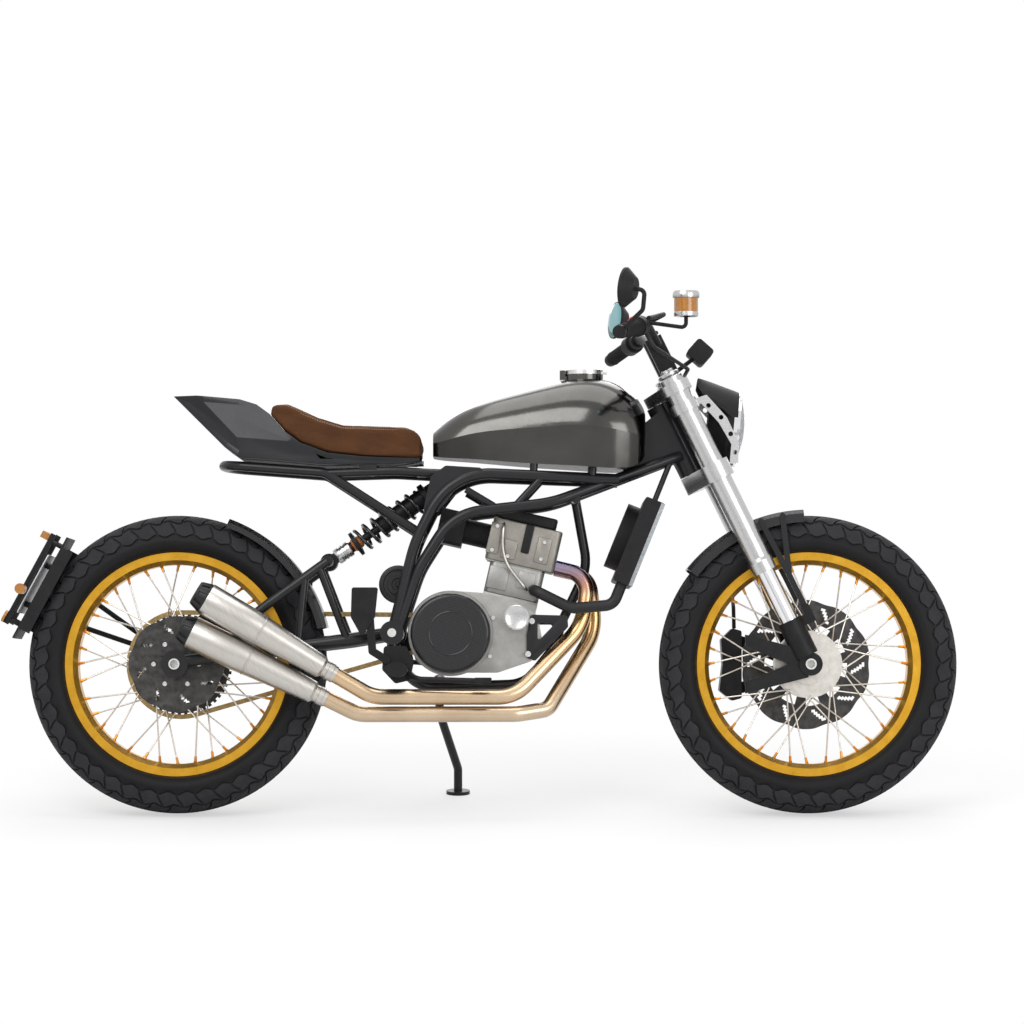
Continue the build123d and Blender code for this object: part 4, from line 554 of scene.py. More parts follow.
def nodeCopy(name):  # a copy of a CAD node's mesh, merged into clean faces, in row metres
    copy = nodes[name].copy()
    copy.data = nodes[name].data.copy()
    copy.parent = None
    copy.matrix_world = Matrix.Identity(4)
    bpy.context.collection.objects.link(copy)
    copy.hide_render = copy.hide_viewport = False
    selectOnly(copy)
    mode("EDIT")
    selectMesh("SELECT")
    bpy.ops.mesh.remove_doubles(threshold=0.00002)
    bpy.ops.mesh.dissolve_limited(angle_limit=math.radians(1.0))
    mode("OBJECT")
    return copy


def softEdges(piece, width, segments, limit):
    bevel = piece.modifiers.new("edges", "BEVEL")
    bevel.width, bevel.segments = width / 1000, segments
    bevel.limit_method, bevel.angle_limit = "ANGLE", math.radians(limit)
    bpy.context.view_layer.objects.active = piece
    bpy.ops.object.modifier_apply(modifier="edges")


def vertexData(piece, key):
    data = numpy.empty(len(piece.data.vertices) * 3)
    piece.data.vertices.foreach_get(key, data)
    return data.reshape(-1, 3)


# tyres: the plain form spun, then rows of slanted blocks pushed out of it between wavy grooves
tread = {
    "blocks": 44,
    "columns": 8,
    "depth": 4.6,
    "stagger": {1: 0, 2: 4, 3: 1},
    "wallLines": 8,
    "smooth": 28,
    # across, radius, row on the strip that follows, twist in columns, wave across, wave in radius
    "section": (
        (0.0, 338.4, 1, 0.0, 0.0, 0.0),
        (11.0, 338.1, 1, 0.6, 0.0, 0.0),
        (20.0, 337.0, 0, 1.2, 3.6, -0.6),
        (24.5, 336.2, 2, 1.2, 3.6, -0.6),
        (35.0, 333.4, 2, 0.0, 1.2, -0.4),
        (46.0, 329.0, 2, -1.0, 2.4, -2.2),
        (53.0, 324.4, 0, -1.4, 2.6, -3.4),
        (56.5, 321.0, 3, -1.4, 2.6, -3.4),
        (62.0, 312.5, 3, -0.2, 0.8, -1.6),
        (65.0, 303.5, 3, 0.8, 0.4, -3.4),
        (66.0, 296.5, 0, 1.2, 0.1, -3.6),
    ),
    "plain": (
        (68.6, 287.0), (69.4, 284.5), (69.0, 278.0), (66.0, 270.0), (59.5, 263.0), (51.0, 258.6),
        (42.0, 257.0), (42.0, 244.0),
    ),
}


def treadTyre(name, body, axleX, replaced):
    columns = tread["columns"]
    half = list(tread["section"]) + [(a, r, 0, 0.0, 0.0, 0.0) for a, r in tread["plain"]]
    lines = [(-a, r, w, t, -wa, wr) for a, r, w, t, wa, wr in reversed(half[1:])] + half
    strips = [entry[2] for entry in reversed(half[:-1])] + [entry[2] for entry in half[:-1]]
    count = tread["blocks"] * columns
    step = 2 * math.pi / count
    centre = (axleX, 0, bike["tyreRadius"])
    profile = [entry[:2] for entry in lines]
    piece = latheProfile(centre, profile, count)
    place = vertexData(piece, "co") * 1000 - numpy.array(centre)
    radius = numpy.hypot(place[:, 0], place[:, 2])
    column = numpy.rint(numpy.arctan2(place[:, 0], place[:, 2]) / step).astype(int) % count
    spots = numpy.array(profile)
    apart = (place[:, 1, None] - spots[:, 0]) ** 2 + (radius[:, None] - spots[:, 1]) ** 2
    line = numpy.argmin(apart, axis=1)
    twist, waveAcross, waveRadius = numpy.array([entry[3:] for entry in lines])[line].T
    swing = numpy.sin(2 * math.pi * column / columns)
    angle = (column + twist) * step
    radius = radius + waveRadius * swing
    across = place[:, 1] + waveAcross * swing
    place = numpy.stack((radius * numpy.sin(angle), across, radius * numpy.cos(angle)), axis=1)
    piece.data.vertices.foreach_set("co", ((place + numpy.array(centre)) / 1000).ravel())
    blocks, walls = [], []
    for face in piece.data.polygons:
        spans = [line[v] for v in face.vertices]
        around = sorted({column[v] for v in face.vertices})
        first = around[0] if around[-1] - around[0] < count / 2 else around[-1]
        row = strips[min(spans)] if max(spans) - min(spans) <= 1 else 0
        blocks.append(row > 0 and (first + tread["stagger"].get(row, 0)) % columns < columns - 1)
        walls.append(min(spans) < tread["wallLines"] or max(spans) > len(lines) - tread["wallLines"])
    paintOver(piece, rubberTread, rubberWall)
    piece.data.polygons.foreach_set("material_index", numpy.array(walls, dtype=int))
    selectFaces(piece, blocks)
    pushOut(tread["depth"] / 1000)
    return settle(piece, name, body, angle=tread["smooth"], replaced=replaced)


treadTyre("rear_tread_tyre", "rear_wheel", 0.0, ["rear_tyre"])
treadTyre("front_tread_tyre", "front_wheel", bike["wheelbase"], ["front_tyre"])
print("tyres done")

# spoke nipples in the rim wells
nipple = {
    "count": 36, "swing": 35.0, "hubRadius": 71.0, "rimRadius": 233.0, "flange": 40.0, "half": 4.0,
    "rimY": 9.4, "offset": 3.0, "sides": 8,
    "profile": [(0, 0), (0, 4.4), (3, 4.4), (4.2, 3.2), (15, 3.0), (16, 2.2), (16, 0)],
}


def wheelPoint(axleX, angle, radius, y):
    turn = math.radians(angle)
    return Vector((axleX + radius * math.sin(turn), y, bike["tyreRadius"] + radius * math.cos(turn)))


for body, axleX in (("rear_wheel", 0.0), ("front_wheel", bike["wheelbase"])):
    places = []
    for index in range(nipple["count"]):
        side = 1 if index % 2 == 0 else -1
        cross = 1 if index % 4 < 2 else -1
        atRim = index * 360 / nipple["count"]
        hubY = side * (nipple["flange"] + cross * nipple["half"])
        hubEnd = wheelPoint(axleX, atRim - cross * nipple["swing"], nipple["hubRadius"], hubY)
        rimEnd = wheelPoint(axleX, atRim, nipple["rimRadius"], side * nipple["rimY"])
        run = (hubEnd - rimEnd).normalized()
        places.append(pointing(rimEnd + run * nipple["offset"], run))
    master = latheProfile((0, 0, 0), nipple["profile"], nipple["sides"], upAxis)
    settle(spread(master, places), body.replace("wheel", "nipples"), body, nippleGold)
print("nipples done")

# silencers: sleeve, band, cone with a weld ring, can and a slotted black cap
can = {
    "radius": 37.5, "pipe": 18.0, "cap": 28.0, "canSteps": 56, "capSteps": 60,
    "coneFoot": 36, "flare": 8, "weld": 0.58, "coneEnd": 0.66, "straight": 0.72,
    "sleeve": ((0, 0.2), (0, 2), (8, 2), (9, 3.2), (20, 3.2), (21, 2), (30, 2)),
    "weldRing": ((0.575, -0.5), (0.578, 0.9), (0.586, 0.9), (0.589, -0.2)),
    "canEnd": ((-3, 0), (0, -1.2), (0, -4)),
    "capProfile": (
        (-2, -6), (0.3, -2.2), (3, -2), (24, -8.6), (27.6, -11), (28, -14), (26, -17.5), (9, -18.5), (7, -34),
    ),
    "inside": 6, "bore": 0.4, "boreFrom": -2, "boreTo": 7,
    "slotFrom": 5, "slotTo": 22, "slotShell": 12, "slotPitch": 6, "slotSteps": (0, 1, 2),
    "slotInset": 0.0012, "slotDepth": -0.003,
    "runs": (((368, -160, 318), (53, -197, 505)), ((348, -150, 264), (17, -173, 428))),
}


def silencer(inlet, outlet):
    inlet, outlet = Vector(inlet), Vector(outlet)
    run = (outlet - inlet).normalized()
    length = (outlet - inlet).length - can["cap"]
    wide, pipe, foot = can["radius"], can["pipe"], can["coneFoot"]
    narrow = pipe + can["flare"]
    slope = (can["weld"] * length - foot) / (can["coneEnd"] * length - foot)
    weldRadius = narrow + (wide - narrow) * slope
    profile = [(a, pipe + r) for a, r in can["sleeve"]] + [(foot, narrow)]
    profile += [(share * length, weldRadius + r) for share, r in can["weldRing"]]
    profile += [(can["coneEnd"] * length, wide), (can["straight"] * length, wide)]
    profile += [(length + a, wide + r) for a, r in can["canEnd"]]
    profile += [(can["straight"] * length, wide - can["inside"]), (foot, pipe + can["sleeve"][-1][1])]
    body = latheProfile(inlet, profile, can["canSteps"], run)
    body.data.materials.append(canSteel)
    profile = [(length + a, wide + r) for a, r in can["capProfile"]]
    profile += [(length + can["boreTo"], can["bore"]), (length + can["boreFrom"], can["bore"])]
    cap = latheProfile(inlet, profile, can["capSteps"], run)
    cap.data.materials.append(capBlack)
    sideAxis = Vector((0, 1, 0))
    otherAxis = run.cross(sideAxis).normalized()
    wanted = []
    for face in cap.data.polygons:
        place = face.center - inlet / 1000
        along = place.dot(run) * 1000 - length
        outward = place - run * place.dot(run)
        turn = math.atan2(outward.dot(otherAxis), outward.dot(sideAxis))
        sector = round(turn * can["capSteps"] / (2 * math.pi) - 0.5) % can["slotPitch"]
        onShell = outward.length * 1000 > wide - can["slotShell"]
        wanted.append(can["slotFrom"] < along < can["slotTo"] and onShell and sector in can["slotSteps"])
    selectFaces(cap, wanted)
    bpy.ops.mesh.inset(thickness=can["slotInset"])
    pushOut(can["slotDepth"])
    return [body, cap]


cans = joinAll([piece for run in can["runs"] for piece in silencer(*run)])
settle(cans, "silencers", "frame", replaced=["mufflers"])
print("silencers done")

# tail: the moulded form with a ridge round each side and rounded edges
ridge = {"wide": 0.013, "deep": -0.0025, "facing": 0.75, "area": 0.004, "edge": (5, 3, 14), "smooth": 40}
tail = nodeCopy("tail_unit")
turnBack = rowToBike.to_3x3()
flanks = [
    abs((turnBack @ face.normal).y) > ridge["facing"] and face.area > ridge["area"]
    for face in tail.data.polygons
]
selectFaces(tail, flanks)
bpy.ops.mesh.inset(thickness=ridge["wide"], depth=ridge["deep"], use_even_offset=True)
mode("OBJECT")
softEdges(tail, *ridge["edge"])
paintOver(tail, tailPaint)
hang(tail, "tail_moulding", "frame", ["tail_unit"], angle=ridge["smooth"])

# seat: the pad's block swelled by cloth, then quilted on top and stitched along both edges
seat = {
    "edge": (14, 4, 30), "voxel": 0.005, "pressure": 4.0, "frames": 20, "cap": 6.0, "shrink": 2.5,
    "heldBelow": -0.25, "topAbove": 0.62, "topTo": 540, "border": 80.0, "diamond": 40.0, "slant": 1.25,
    "channel": 3.2, "sink": 2.6, "seamOff": 3, "seamWide": 2.6, "seamSink": 1.6, "seamAbove": 0.3,
    "smooth": 80,
}
pad = nodeCopy("seat_pad")
softEdges(pad, *seat["edge"])
remesh = pad.modifiers.new("skin", "REMESH")
remesh.mode, remesh.voxel_size = "VOXEL", seat["voxel"]
bpy.ops.object.modifier_apply(modifier="skin")
backTurn = numpy.array(turnBack).T
spots, ways = vertexData(pad, "co"), vertexData(pad, "normal")
held = (ways @ backTurn)[:, 2] < seat["heldBelow"]
start = spots - ways * numpy.where(held, 0.0, seat["shrink"] / 1000)[:, None]
pad.data.vertices.foreach_set("co", start.ravel())
pad.data.update()
resting = pad.vertex_groups.new(name="resting")
resting.add([int(i) for i in numpy.nonzero(held)[0]], 1.0, "REPLACE")
cloth = pad.modifiers.new("swell", "CLOTH")
cloth.settings.use_pressure = True
cloth.settings.uniform_pressure_force = seat["pressure"]
cloth.settings.effector_weights.gravity = 0
cloth.settings.vertex_group_mass = "resting"
for number in range(1, seat["frames"] + 1):
    bpy.context.scene.frame_set(number)
bpy.ops.object.modifier_apply(modifier="swell")
bpy.context.scene.frame_set(1)
move = vertexData(pad, "co") - start
moved = numpy.linalg.norm(move, axis=1, keepdims=True)
move *= numpy.minimum(1.0, seat["cap"] / 1000 / numpy.maximum(moved, 1e-9))
pad.data.vertices.foreach_set("co", (start + move).ravel())
finer = pad.modifiers.new("finer", "SUBSURF")
finer.levels = finer.render_levels = 1
bpy.ops.object.modifier_apply(modifier="finer")
spots, ways = vertexData(pad, "co"), vertexData(pad, "normal")
upright = (spots @ backTurn + numpy.array(rowToBike.translation)) * 1000
climb = (ways @ backTurn)[:, 2]
fromMiddle = numpy.abs(upright[:, 1])
onTop = (climb > seat["topAbove"]) & (fromMiddle < seat["border"]) & (upright[:, 0] < seat["topTo"])
fold = numpy.zeros(len(spots))
for tilt in (1, -1):
    cell = (upright[:, 0] + tilt * upright[:, 1] * seat["slant"]) / seat["diamond"]
    gap = numpy.abs(cell - numpy.rint(cell)) * seat["diamond"]
    fold = numpy.maximum(fold, numpy.exp(-((gap / seat["channel"]) ** 2)))
seam = numpy.exp(-(((fromMiddle - seat["border"] - seat["seamOff"]) / seat["seamWide"]) ** 2))
seam = seam * (climb > seat["seamAbove"])
sink = (fold * onTop * seat["sink"] + seam * seat["seamSink"]) / 1000
pad.data.vertices.foreach_set("co", (spots - ways * sink[:, None]).ravel())
paintOver(pad, seatLeather, seatSuede)
quilted = [int(all(onTop[v] for v in face.vertices)) for face in pad.data.polygons]
pad.data.polygons.foreach_set("material_index", numpy.array(quilted))
pad.data.update()
hang(pad, "seat_cushion", "frame", ["seat_pad"], angle=seat["smooth"])

# stitches laid on the seat, two rows along each edge
stitch = {
    "from": 232, "to": 548, "step": 5.4, "rows": (86.0, 91.0), "above": 1000, "lift": 0.0002,
    "half": 1.8, "taper": 0.7, "radius": 0.7, "sides": 6,
}
leaned = bikeToRow.to_3x3()
places = []
for side in (1, -1):
    for row in stitch["rows"]:
        x = stitch["from"]
        while x < stitch["to"]:
            found, spot, way, _ = pad.ray_cast(onBike(x, side * row, stitch["above"]), leaned @ -upAxis)
            if found:
                ahead = leaned @ Vector((1, 0, 0))
                ahead = (ahead - way * ahead.dot(way)).normalized()
                places.append(rowToBike @ (Matrix.Translation(spot + way * stitch["lift"]) @ turnedTo(ahead)))
            x += stitch["step"]
half, flatHalf, thick = stitch["half"], stitch["half"] * stitch["taper"], stitch["radius"]
profile = [(-half, 0), (-flatHalf, thick), (flatHalf, thick), (half, 0)]
master = latheProfile((0, 0, 0), profile, stitch["sides"], upAxis)
settle(spread(master, places), "seat_stitching", "frame", threadTan)
print("seat done")


# brake discs and sprocket: a flat ring of faces, windows and slots taken out, rim worked, then thickened
def cutRing(plan, isOpen):
    radii, columns = plan["radii"], plan["columns"]
    axle = (plan["axleX"], 0, bike["tyreRadius"])
    ring = latheProfile(axle, [(plan["faceY"], r) for r in radii], columns, closed=False)
    centre = numpy.array(axle)
    wanted = []
    for face in ring.data.polygons:
        x, _, z = numpy.array(face.center) * 1000 - centre
        column = int((math.atan2(x, z) % (2 * math.pi)) / (2 * math.pi) * columns)
        band = max(i for i, r in enumerate(radii) if r < math.hypot(x, z) + ringSlack)
        wanted.append(isOpen(column, band))
    for vertex in ring.data.vertices:
        x, _, z = numpy.array(vertex.co) * 1000 - centre
        far = math.hypot(x, z)
        if far > radii[-1] - ringSlack:
            turn = math.atan2(x, z) % (2 * math.pi)
            wave = (0.5 - 0.5 * math.cos(plan["lobes"] * turn)) ** 2
            size = (radii[-1] - plan["waveDepth"] * wave) / far
            vertex.co.x, vertex.co.z = (x * size + centre[0]) / 1000, (z * size + centre[2]) / 1000
    selectFaces(ring, wanted)
    bpy.ops.mesh.delete(type="FACE")
    selectMesh("SELECT")
    bpy.ops.mesh.extrude_region_move(TRANSFORM_OT_translate={"value": (0, plan["thickness"] / 1000, 0)})
    selectMesh("SELECT")
    bpy.ops.mesh.normals_make_consistent(inside=False)
    mode("OBJECT")
    return ring


def frontOpen(column, band):  # windows inside, slanted slots outside
    if band in (1, 3):
        return column % 20 < 8 if band == 1 else column % 16 > 6
    return 5 <= band <= 9 and (column + band) % 16 < 2


def rearOpen(column, band):
    return 4 <= band <= 7 and (column + band) % 16 < 2


def sprocketOpen(column, band):  # windows inside, gaps between teeth outside
    if band in (1, 3):
        return column % 32 < 12 if band == 1 else column % 32 > 9
    return band == 6 and column % 4 > 1


ringSlack = 0.4
frontRing = {
    "axleX": bike["wheelbase"], "faceY": 58, "thickness": 5, "columns": 160, "lobes": 10, "waveDepth": 4.5,
    "radii": (24, 40, 50, 62, 96, 106, 112, 118, 124, 130, 136, 142, 150),
}
rearRing = {
    "axleX": 0, "faceY": -58, "thickness": -5, "columns": 128, "lobes": 8, "waveDepth": 4.0,
    "radii": (24, 36, 46, 58, 70, 76, 82, 88, 94, 100, 110),
}
toothRing = {
    "axleX": 0, "faceY": 81, "thickness": 6, "columns": 192, "lobes": 0, "waveDepth": 0.0,
    "radii": (24, 44, 56, 66, 90, 104, 113, 118.6),
}
for plan, isOpen, name, body, replaced in (
    (frontRing, frontOpen, "front_slotted_disc", "front_wheel", "front_disc"),
    (rearRing, rearOpen, "rear_slotted_disc", "rear_wheel", "rear_disc"),
    (toothRing, sprocketOpen, "rear_toothed_sprocket", "rear_wheel", "rear_sprocket"),
):
    settle(cutRing(plan, isOpen), name, body, discSteel, replaced=[replaced])
print("discs done")

# chain: inner and outer links laid round the loop
chain = {
    "pitch": 15.875, "y": 84.0, "rear": (0.0, 343.0, 121.36), "front": (568.0, 420.0, 38.18),
    "overlap": 9.4, "plate": 10.6, "thick": 1.5, "corner": 0.0046, "pinRadius": 2.4,
    "rollerHalf": 3, "rollerRadius": 4.6, "sides": 10, "inner": (3.8, 3.0), "outer": (5.5, 6.4),
}


def chainLink(apart, pinHalf):
    pieces = []
    for side in (1, -1):
        plate = block((chain["pitch"] + chain["overlap"], chain["thick"], chain["plate"]))
        bpy.context.tool_settings.mesh_select_mode = (False, True, False)
        mode("EDIT")
        selectMesh("DESELECT")
        mode("OBJECT")
        for edge in plate.data.edges:
            a, b = (plate.data.vertices[v].co for v in edge.vertices)
            edge.select = abs(a.y - b.y) > chain["thick"] / 3000
        mode("EDIT")
        bpy.ops.mesh.bevel(offset=chain["corner"], segments=3)
        selectMesh("SELECT")
        bpy.ops.transform.translate(value=(0, side * apart / 1000, 0))
        mode("OBJECT")
        pieces.append(plate)
    pin, roll, wide = chain["pinRadius"], chain["rollerHalf"], chain["rollerRadius"]
    profile = [(-pinHalf, 0), (-pinHalf, pin), (-roll, pin), (-roll, wide)]
    profile += [(-a, r) for a, r in reversed(profile)]
    for end in (1, -1):
        pieces.append(latheProfile((end * chain["pitch"] / 2, 0, 0), profile, chain["sides"]))
    return joinAll(pieces)


(rearX, rearZ, rearR), (frontX, frontZ, frontR) = chain["rear"], chain["front"]
between = Vector((frontX - rearX, 0, frontZ - rearZ))
heading = math.atan2(between.z, between.x)
wrap = math.acos((rearR - frontR) / between.length)
straight = math.sqrt(between.length ** 2 - (rearR - frontR) ** 2)
frontArc, rearArc = 2 * wrap * frontR, (2 * math.pi - 2 * wrap) * rearR
length = 2 * straight + frontArc + rearArc
linkCount = 2 * round(length / chain["pitch"] / 2)


def onSprocket(sprocket, turn):
    x, z, radius = sprocket
    return Vector((x + radius * math.cos(turn), chain["y"], z + radius * math.sin(turn)))


def chainPoint(run):  # along the top run, round the front, back below and round the rear
    run %= length
    rear, front, upper, lower = chain["rear"], chain["front"], heading + wrap, heading - wrap
    if run < straight:
        return onSprocket(rear, upper).lerp(onSprocket(front, upper), run / straight)
    if run < straight + frontArc:
        return onSprocket(front, upper - (run - straight) / frontR)
    if run < 2 * straight + frontArc:
        return onSprocket(front, lower).lerp(onSprocket(rear, lower), (run - straight - frontArc) / straight)
    return onSprocket(rear, lower - (run - 2 * straight - frontArc) / rearR)


links = {0: [], 1: []}
for index in range(linkCount):
    a, b = chainPoint(index * length / linkCount), chainPoint((index + 1) * length / linkCount)
    slope = Matrix.Rotation(-math.atan2(b.z - a.z, b.x - a.x), 4, "Y")
    links[index % 2].append(Matrix.Translation((a + b) / 2000) @ slope)
chainRun = [spread(chainLink(*chain["inner"]), links[0]), spread(chainLink(*chain["outer"]), links[1])]
settle(joinAll(chainRun), "chain_links", "frame", chainGold, replaced=["drive_chain"])
print("chain done")

# socket bolts
bolt = {"root": -3, "chamfer": 0.7, "socket": 0.58, "socketFoot": 0.52, "socketDepth": 0.4, "sides": 14}


def standBolts(name, radius, height, body, spots):  # spots of (place, direction)
    deep = height * bolt["socketDepth"]
    profile = [(bolt["root"], 0), (bolt["root"], radius), (height - bolt["chamfer"], radius)]
    profile += [(height, radius - bolt["chamfer"]), (height, radius * bolt["socket"])]
    profile += [(deep, radius * bolt["socketFoot"]), (deep, 0)]
    master = latheProfile((0, 0, 0), profile, bolt["sides"], upAxis)
    places = [pointing(place, way) for place, way in spots]
    settle(spread(master, places), name, body, zincBolt)


def boltCircle(axleX, first, radius, y, way):
    return [(wheelPoint(axleX, first + 60 * number, radius, y), way) for number in range(6)]


plateBolts = [((x, -102.3, z), right) for x, z in ((815, 441), (806, 366))]
standBolts("plate_bolts", 7.0, 6.0, "frame", plateBolts)
standBolts("rear_disc_bolts", 5.5, 4.0, "rear_wheel", boltCircle(0, 30, 52, -63, right))
standBolts("front_disc_bolts", 5.5, 4.0, "front_wheel", boltCircle(bike["wheelbase"], 30, 56, 63, -right))
standBolts("sprocket_bolts", 6.0, 5.0, "rear_wheel", boltCircle(0, 10, 61, 87, -right))


# small turned trim: one dictionary of latheProfile's values for each part
def turned(name, body, material, slotName, *parts, replaced=()):
    pieces = [latheProfile(**part) for part in parts]
    piece = joinAll(pieces) if len(pieces) > 1 else pieces[0]
    settle(piece, name, body, material, replaced=replaced)


forkCap = {
    "axis": (onFork(0, 0, 1) - onFork(0, 0, 0)).normalized(), "steps": 24,
    "profile": [(-2, 0), (-2, 25.5), (3, 25.5), (5, 23), (5, 15), (12, 14), (13, 12.6), (13, 0)],
}
capParts = [{**forkCap, "centre": onFork(45, across, 735)} for across in (105, -105)]
turned("fork_caps", "steering", silverTube, "fork_silver", *capParts)

vessel = {"centre": onFork(128, -262, 830), "axis": upAxis, "steps": 40}
lidProfile = [
    (41.4, 26), (41.4, 29.6), (44, 30.2), (53, 30.2), (56.8, 28.4), (56.8, 22), (56.0, 21), (56.0, 0),
]
footProfile = [(-0.4, 0), (-0.4, 26.4), (0.6, 27.6), (9, 27.6), (10, 26.6)]
vesselParts = [{**vessel, "profile": profile} for profile in (lidProfile, footProfile)]
turned("reservoir_trim", "steering", silverTube, "fork_silver", *vesselParts)

bar = {"end": (-27, 400, 855), "bend": (44, 205, 857)}


def onBar(key, side):
    ahead, across, up = bar[key]
    return onFork(ahead, side * across, up)


def barInward(side):
    return (onBar("bend", side) - onBar("end", side)).normalized()


mirror = {"reach": (20, 28, 94), "face": (-0.93, -0.33, 0.12), "stand": 15.0}
glass = {"steps": 48, "profile": [(-1, 0), (-1, 42), (0.4, 42.4), (1.4, 41), (2.4, 28), (2.9, 12), (3.0, 0)]}
glasses = []
for side in (-1, 1):
    mirrored = Vector((1, side, 1))
    face = (Vector(mirror["face"]) * mirrored).normalized()
    hub = onBar("end", side) + Vector(mirror["reach"]) * mirrored
    glasses.append({**glass, "centre": hub + face * mirror["stand"], "axis": face})
turned("mirror_glasses", "steering", mirrorGlass, "chrome", *glasses)

stopSwitch = {"along": 143, "out": 21.5, "way": (-0.8, 0, 0.6)}
inward, way = barInward(-1), Vector(stopSwitch["way"])
way = (way - inward * way.dot(inward)).normalized()
turned("stop_switch", "steering", redPlastic, "amber_plastic", {
    "centre": onBar("end", -1) + inward * stopSwitch["along"] + way * stopSwitch["out"], "axis": way,
    "steps": 20, "profile": [(-2, 0), (-2, 9), (3.4, 9), (5, 7.4), (5.4, 0)],
})

grip = {"ribs": 17, "pitch": 6.2, "rib": ((10, 16.5), (12.2, 15.2), (14.0, 15.2))}
gripProfile = [(4, 11.1), (4, 16.0), (6, 17.0)]
for number in range(grip["ribs"]):
    gripProfile += [(along + number * grip["pitch"], radius) for along, radius in grip["rib"]]
gripProfile += [(118, 16.5), (120, 19.5), (125, 19.5), (126, 18), (126, 11.1)]
gripParts = [
    {"centre": onBar("end", side), "axis": barInward(side), "steps": 28, "profile": gripProfile}
    for side in (-1, 1)
]
turned("ribbed_grips", "steering", gripRubber, "grip_rubber", *gripParts, replaced=["grips"])

# headlight: bezel, and a bright dish behind a glass dome
headlight = {"centre": Vector((1283.8, 0, 884.5)), "axis": Vector((0.995, 0, -0.10)), "steps": 72}
bezelProfile = [(-6, 83.4), (-6, 86.4), (3, 86.4), (6, 84), (6, 80.6), (-1, 80.6)]
turned("headlight_bezel", "steering", chromeTube, "chrome", {**headlight, "profile": bezelProfile})
dish = latheProfile(**headlight, profile=[
    (1, 0), (1, 79), (8, 78.5), (9, 77.5), (5.4, 66), (3.4, 50), (2.4, 34), (2.2, 19), (9, 17), (11, 12),
    (11.6, 0),
])
dish.data.materials.append(chromeTube)
dome = latheProfile(**headlight, profile=[
    (21.8, 0), (21.0, 18), (18.6, 36), (14.6, 54), (10.6, 69), (9.2, 77), (9.2, 79.4),
    (8.2, 79.4), (8.2, 77), (9.4, 69), (13.2, 54), (17.2, 36), (19.6, 18), (20.4, 0),
])
dome.data.materials.append(lensGlass)
glazing = joinAll([dish, dome])
settle(glazing, "headlight_glass", "steering", replaced=["headlight_lens"])

shockFoot, shockTop = Vector((348, 0, 578)), Vector((600, 0, 752))
shock = {"centre": shockFoot, "axis": (shockTop - shockFoot).normalized(), "steps": 28}
turned("shock_clevis", "frame", silverTube, "fork_silver", {**shock, "profile": [
    (20, 8), (20, 17), (23, 18.8), (34, 18.8), (35, 17.2), (40, 17.2), (41, 18.8), (44, 18.8), (45, 17.2),
    (48, 17.2), (49, 18.8), (58, 18.8), (60, 16), (60, 8),
]})
turned("shock_bump_stop", "frame", orangeRubber, "grip_rubber", {**shock, "profile": [
    (66, 7), (66, 13), (69, 15.5), (76, 15.5), (79, 13.5), (84, 15), (90, 13), (92, 7),
]})
turned("horn_face", "frame", capBlack, "black_plastic", {
    "centre": (509, -95.3, 525), "axis": right, "steps": 48,
    "profile": [
        (-2, 0), (-2, 43), (1.6, 43), (2.6, 41), (2.6, 34), (0.8, 32), (0.8, 26), (2.4, 24), (2.4, 15),
        (1.0, 13), (1.0, 7), (3.4, 5), (3.4, 0),
    ],
})
print("trim done")

# castings: the CAD forms with soft edges, given as width, segments and angle limit
soft = {
    "crankcase": ("frame", (3.5, 3, 30)),
    "cylinder_head": ("frame", (4, 3, 30)),
    "cylinder_barrel": ("frame", (3, 2, 30)),
    "cam_cover": ("frame", (5, 3, 30)),
    "instrument_box": ("steering", (6, 3, 30)),
    "engine_plates": ("frame", (1.2, 2, 40)),
}
for name, (body, edge) in soft.items():
    casting = nodeCopy(name)
    softEdges(casting, *edge)
    paintOver(casting, nodeFinish[name])
    hang(casting, name + "_casting", body, [name])

# engine details, placed square to the barrel
engine = {"foot": Vector((745, 0, 440)), "tilt": 13.0}
engineTilt = math.radians(engine["tilt"])
engineUp = Vector((math.sin(engineTilt), 0, math.cos(engineTilt)))
engineAhead = Vector((math.cos(engineTilt), 0, -math.sin(engineTilt)))


def onEngine(ahead, y, up):
    return engine["foot"] + engineAhead * ahead + engineUp * up + Vector((0, y, 0))


def slab(centre, measures, bevel, tilt=engineTilt):  # a block with soft edges
    piece = block(measures)
    softEdges(piece, bevel, 2, 30)
    piece.matrix_world = Matrix.Translation(Vector(centre) / 1000) @ Matrix.Rotation(tilt, 4, "Y")
    return piece


# bosses on both sides: ahead, up, length and height of each
jacket = {"y": 65.4, "thick": 5, "bevel": 2.0, "spots": ((-30, 96, 46, 52), (34, 104, 40, 40))}
panel = {
    "y": 70.5, "thick": 6, "bevel": 2.4, "spots": ((-58, 184, 28, 72), (-20, 166, 34, 44), (56, 180, 32, 60)),
}


def bosses(plan):
    return [
        slab(onEngine(ahead, side * plan["y"], up), (wide, plan["thick"], tall), plan["bevel"])
        for side in (-1, 1) for ahead, up, wide, tall in plan["spots"]
    ]


gasket = {"middle": (0, 0, 133), "size": (130, 132, 4), "bevel": 1.0}
barrelPieces = [slab(onEngine(*gasket["middle"]), gasket["size"], gasket["bevel"])] + bosses(jacket)
settle(joinAll(barrelPieces), "barrel_bosses", "frame", castAlloy)
headPieces = bosses(panel)
tower = {"middle": (16, -71.5, 198), "size": (19, 9, 66), "bevel": 3.0}
plugTower = slab(onEngine(*tower["middle"]), tower["size"], tower["bevel"])
settle(plugTower, "plug_tower", "frame", mouldedBlack)
settle(joinAll(headPieces), "head_bosses", "frame", headAlloy)
headBolts = {"y": -73.4, "spots": ((-58, 156), (-58, 212), (-20, 150), (56, 160), (56, 200))}
headPlaces = [(onEngine(ahead, headBolts["y"], up), right) for ahead, up in headBolts["spots"]]
standBolts("head_bolts", 5.0, 4.0, "frame", headPlaces)

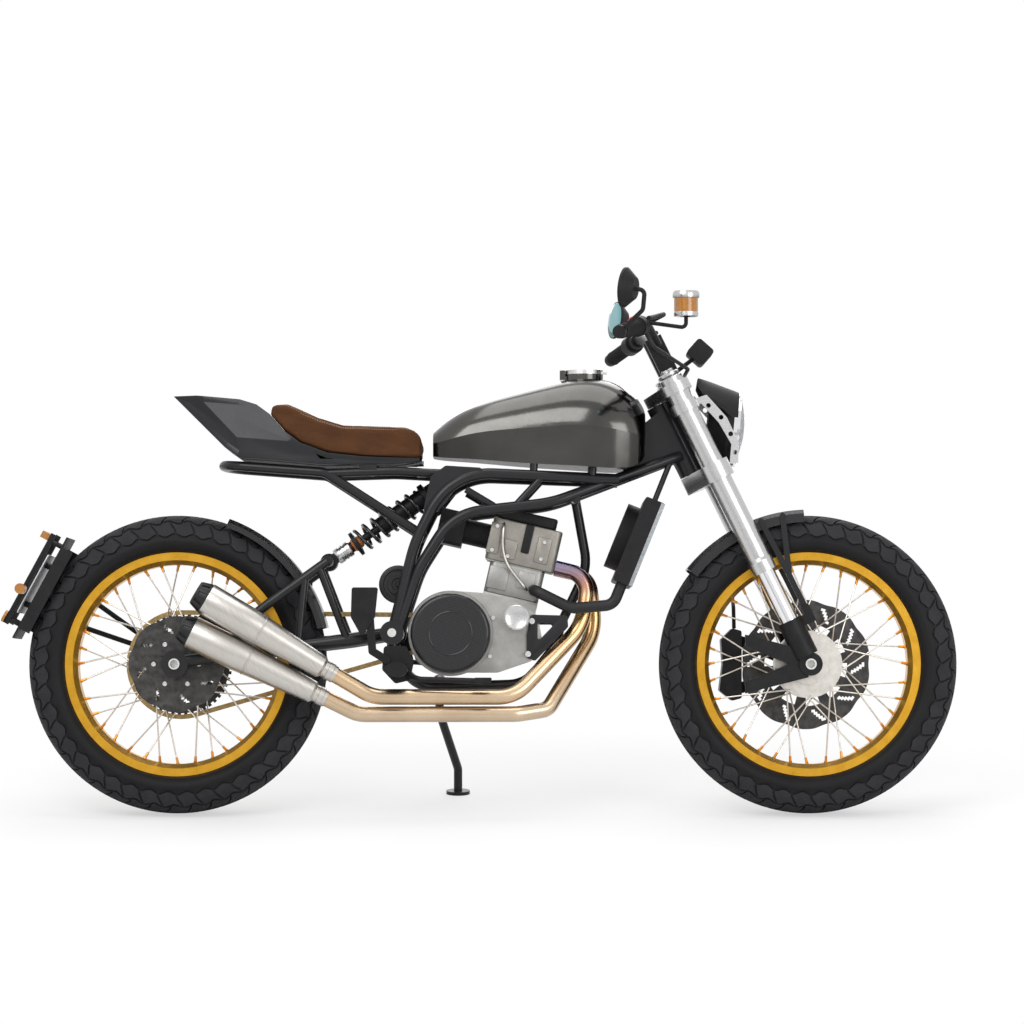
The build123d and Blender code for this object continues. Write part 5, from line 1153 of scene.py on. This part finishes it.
clutch = {"x": 629, "z": 413, "boltRadius": 104, "boltY": -96, "boltAngles": (20, 330)}
turned("clutch_ring", "frame", castAlloy, "cast_alloy", {
    "centre": (clutch["x"], 0, clutch["z"]), "axis": right, "steps": 72,
    "profile": [(105, 91.4), (105, 97.6), (108.5, 97.6), (110, 96.2), (110, 91.4)],
})
caseBolts = []
for angle in clutch["boltAngles"]:
    turn, reach = math.radians(angle), clutch["boltRadius"]
    spot = (clutch["x"] + reach * math.cos(turn), clutch["boltY"], clutch["z"] + reach * math.sin(turn))
    caseBolts.append((spot, right))
standBolts("case_bolts", 5.0, 5.0, "frame", caseBolts)
turned("filter_cap", "frame", silverTube, "cast_alloy", {
    "centre": (780, -120.6, 449), "axis": right, "steps": 40,
    "profile": [(-1, 0), (-1, 28.6), (1.8, 28.6), (3, 27), (3, 24), (2.4, 23), (2.4, 0)],
})
turned("cover_hoop", "frame", carbonWeave, "carbon", {
    "centre": (clutch["x"], -135.6, clutch["z"]), "axis": right, "steps": 64,
    "profile": [(-1, 47), (-1, 51), (1.6, 50.4), (2.2, 49), (1.6, 47.6)],
})

radiator = {
    "middle": Vector((1059, 0, 622)), "tilt": 22.0, "ahead": 19.4, "core": (9, 250.8, 203), "bevel": 1.0,
}
coreTilt = math.radians(radiator["tilt"])
coreAhead = Vector((math.cos(coreTilt), 0, -math.sin(coreTilt))) * radiator["ahead"]
core = slab(radiator["middle"] + coreAhead, radiator["core"], radiator["bevel"], coreTilt)
settle(core, "radiator_core", "frame", coreAlloy)

oilLine = {
    "radius": 0.0034, "rounding": 4, "order": 4,
    "points": (
        (-44, -62, 222), (-44, -84, 222), (-42, -82, 180), (-22, -78, 132), (16, -78, 104), (40, -80, 84),
        (40, -58, 84),
    ),
}
curve = bpy.data.curves.new("oil_line", "CURVE")
curve.dimensions, curve.use_fill_caps = "3D", True
curve.bevel_depth, curve.bevel_resolution = oilLine["radius"], oilLine["rounding"]
spline = curve.splines.new("NURBS")
spline.points.add(len(oilLine["points"]) - 1)
for point, place in zip(spline.points, oilLine["points"]):
    point.co = (*(onEngine(*place) / 1000), 1)
spline.use_endpoint_u, spline.order_u = True, oilLine["order"]
hose = bpy.data.objects.new("oil_line", curve)
bpy.context.collection.objects.link(hose)
selectOnly(hose)
bpy.ops.object.convert(target="MESH")
settle(bpy.context.object, "oil_line", "frame", canSteel)
print("engine done")
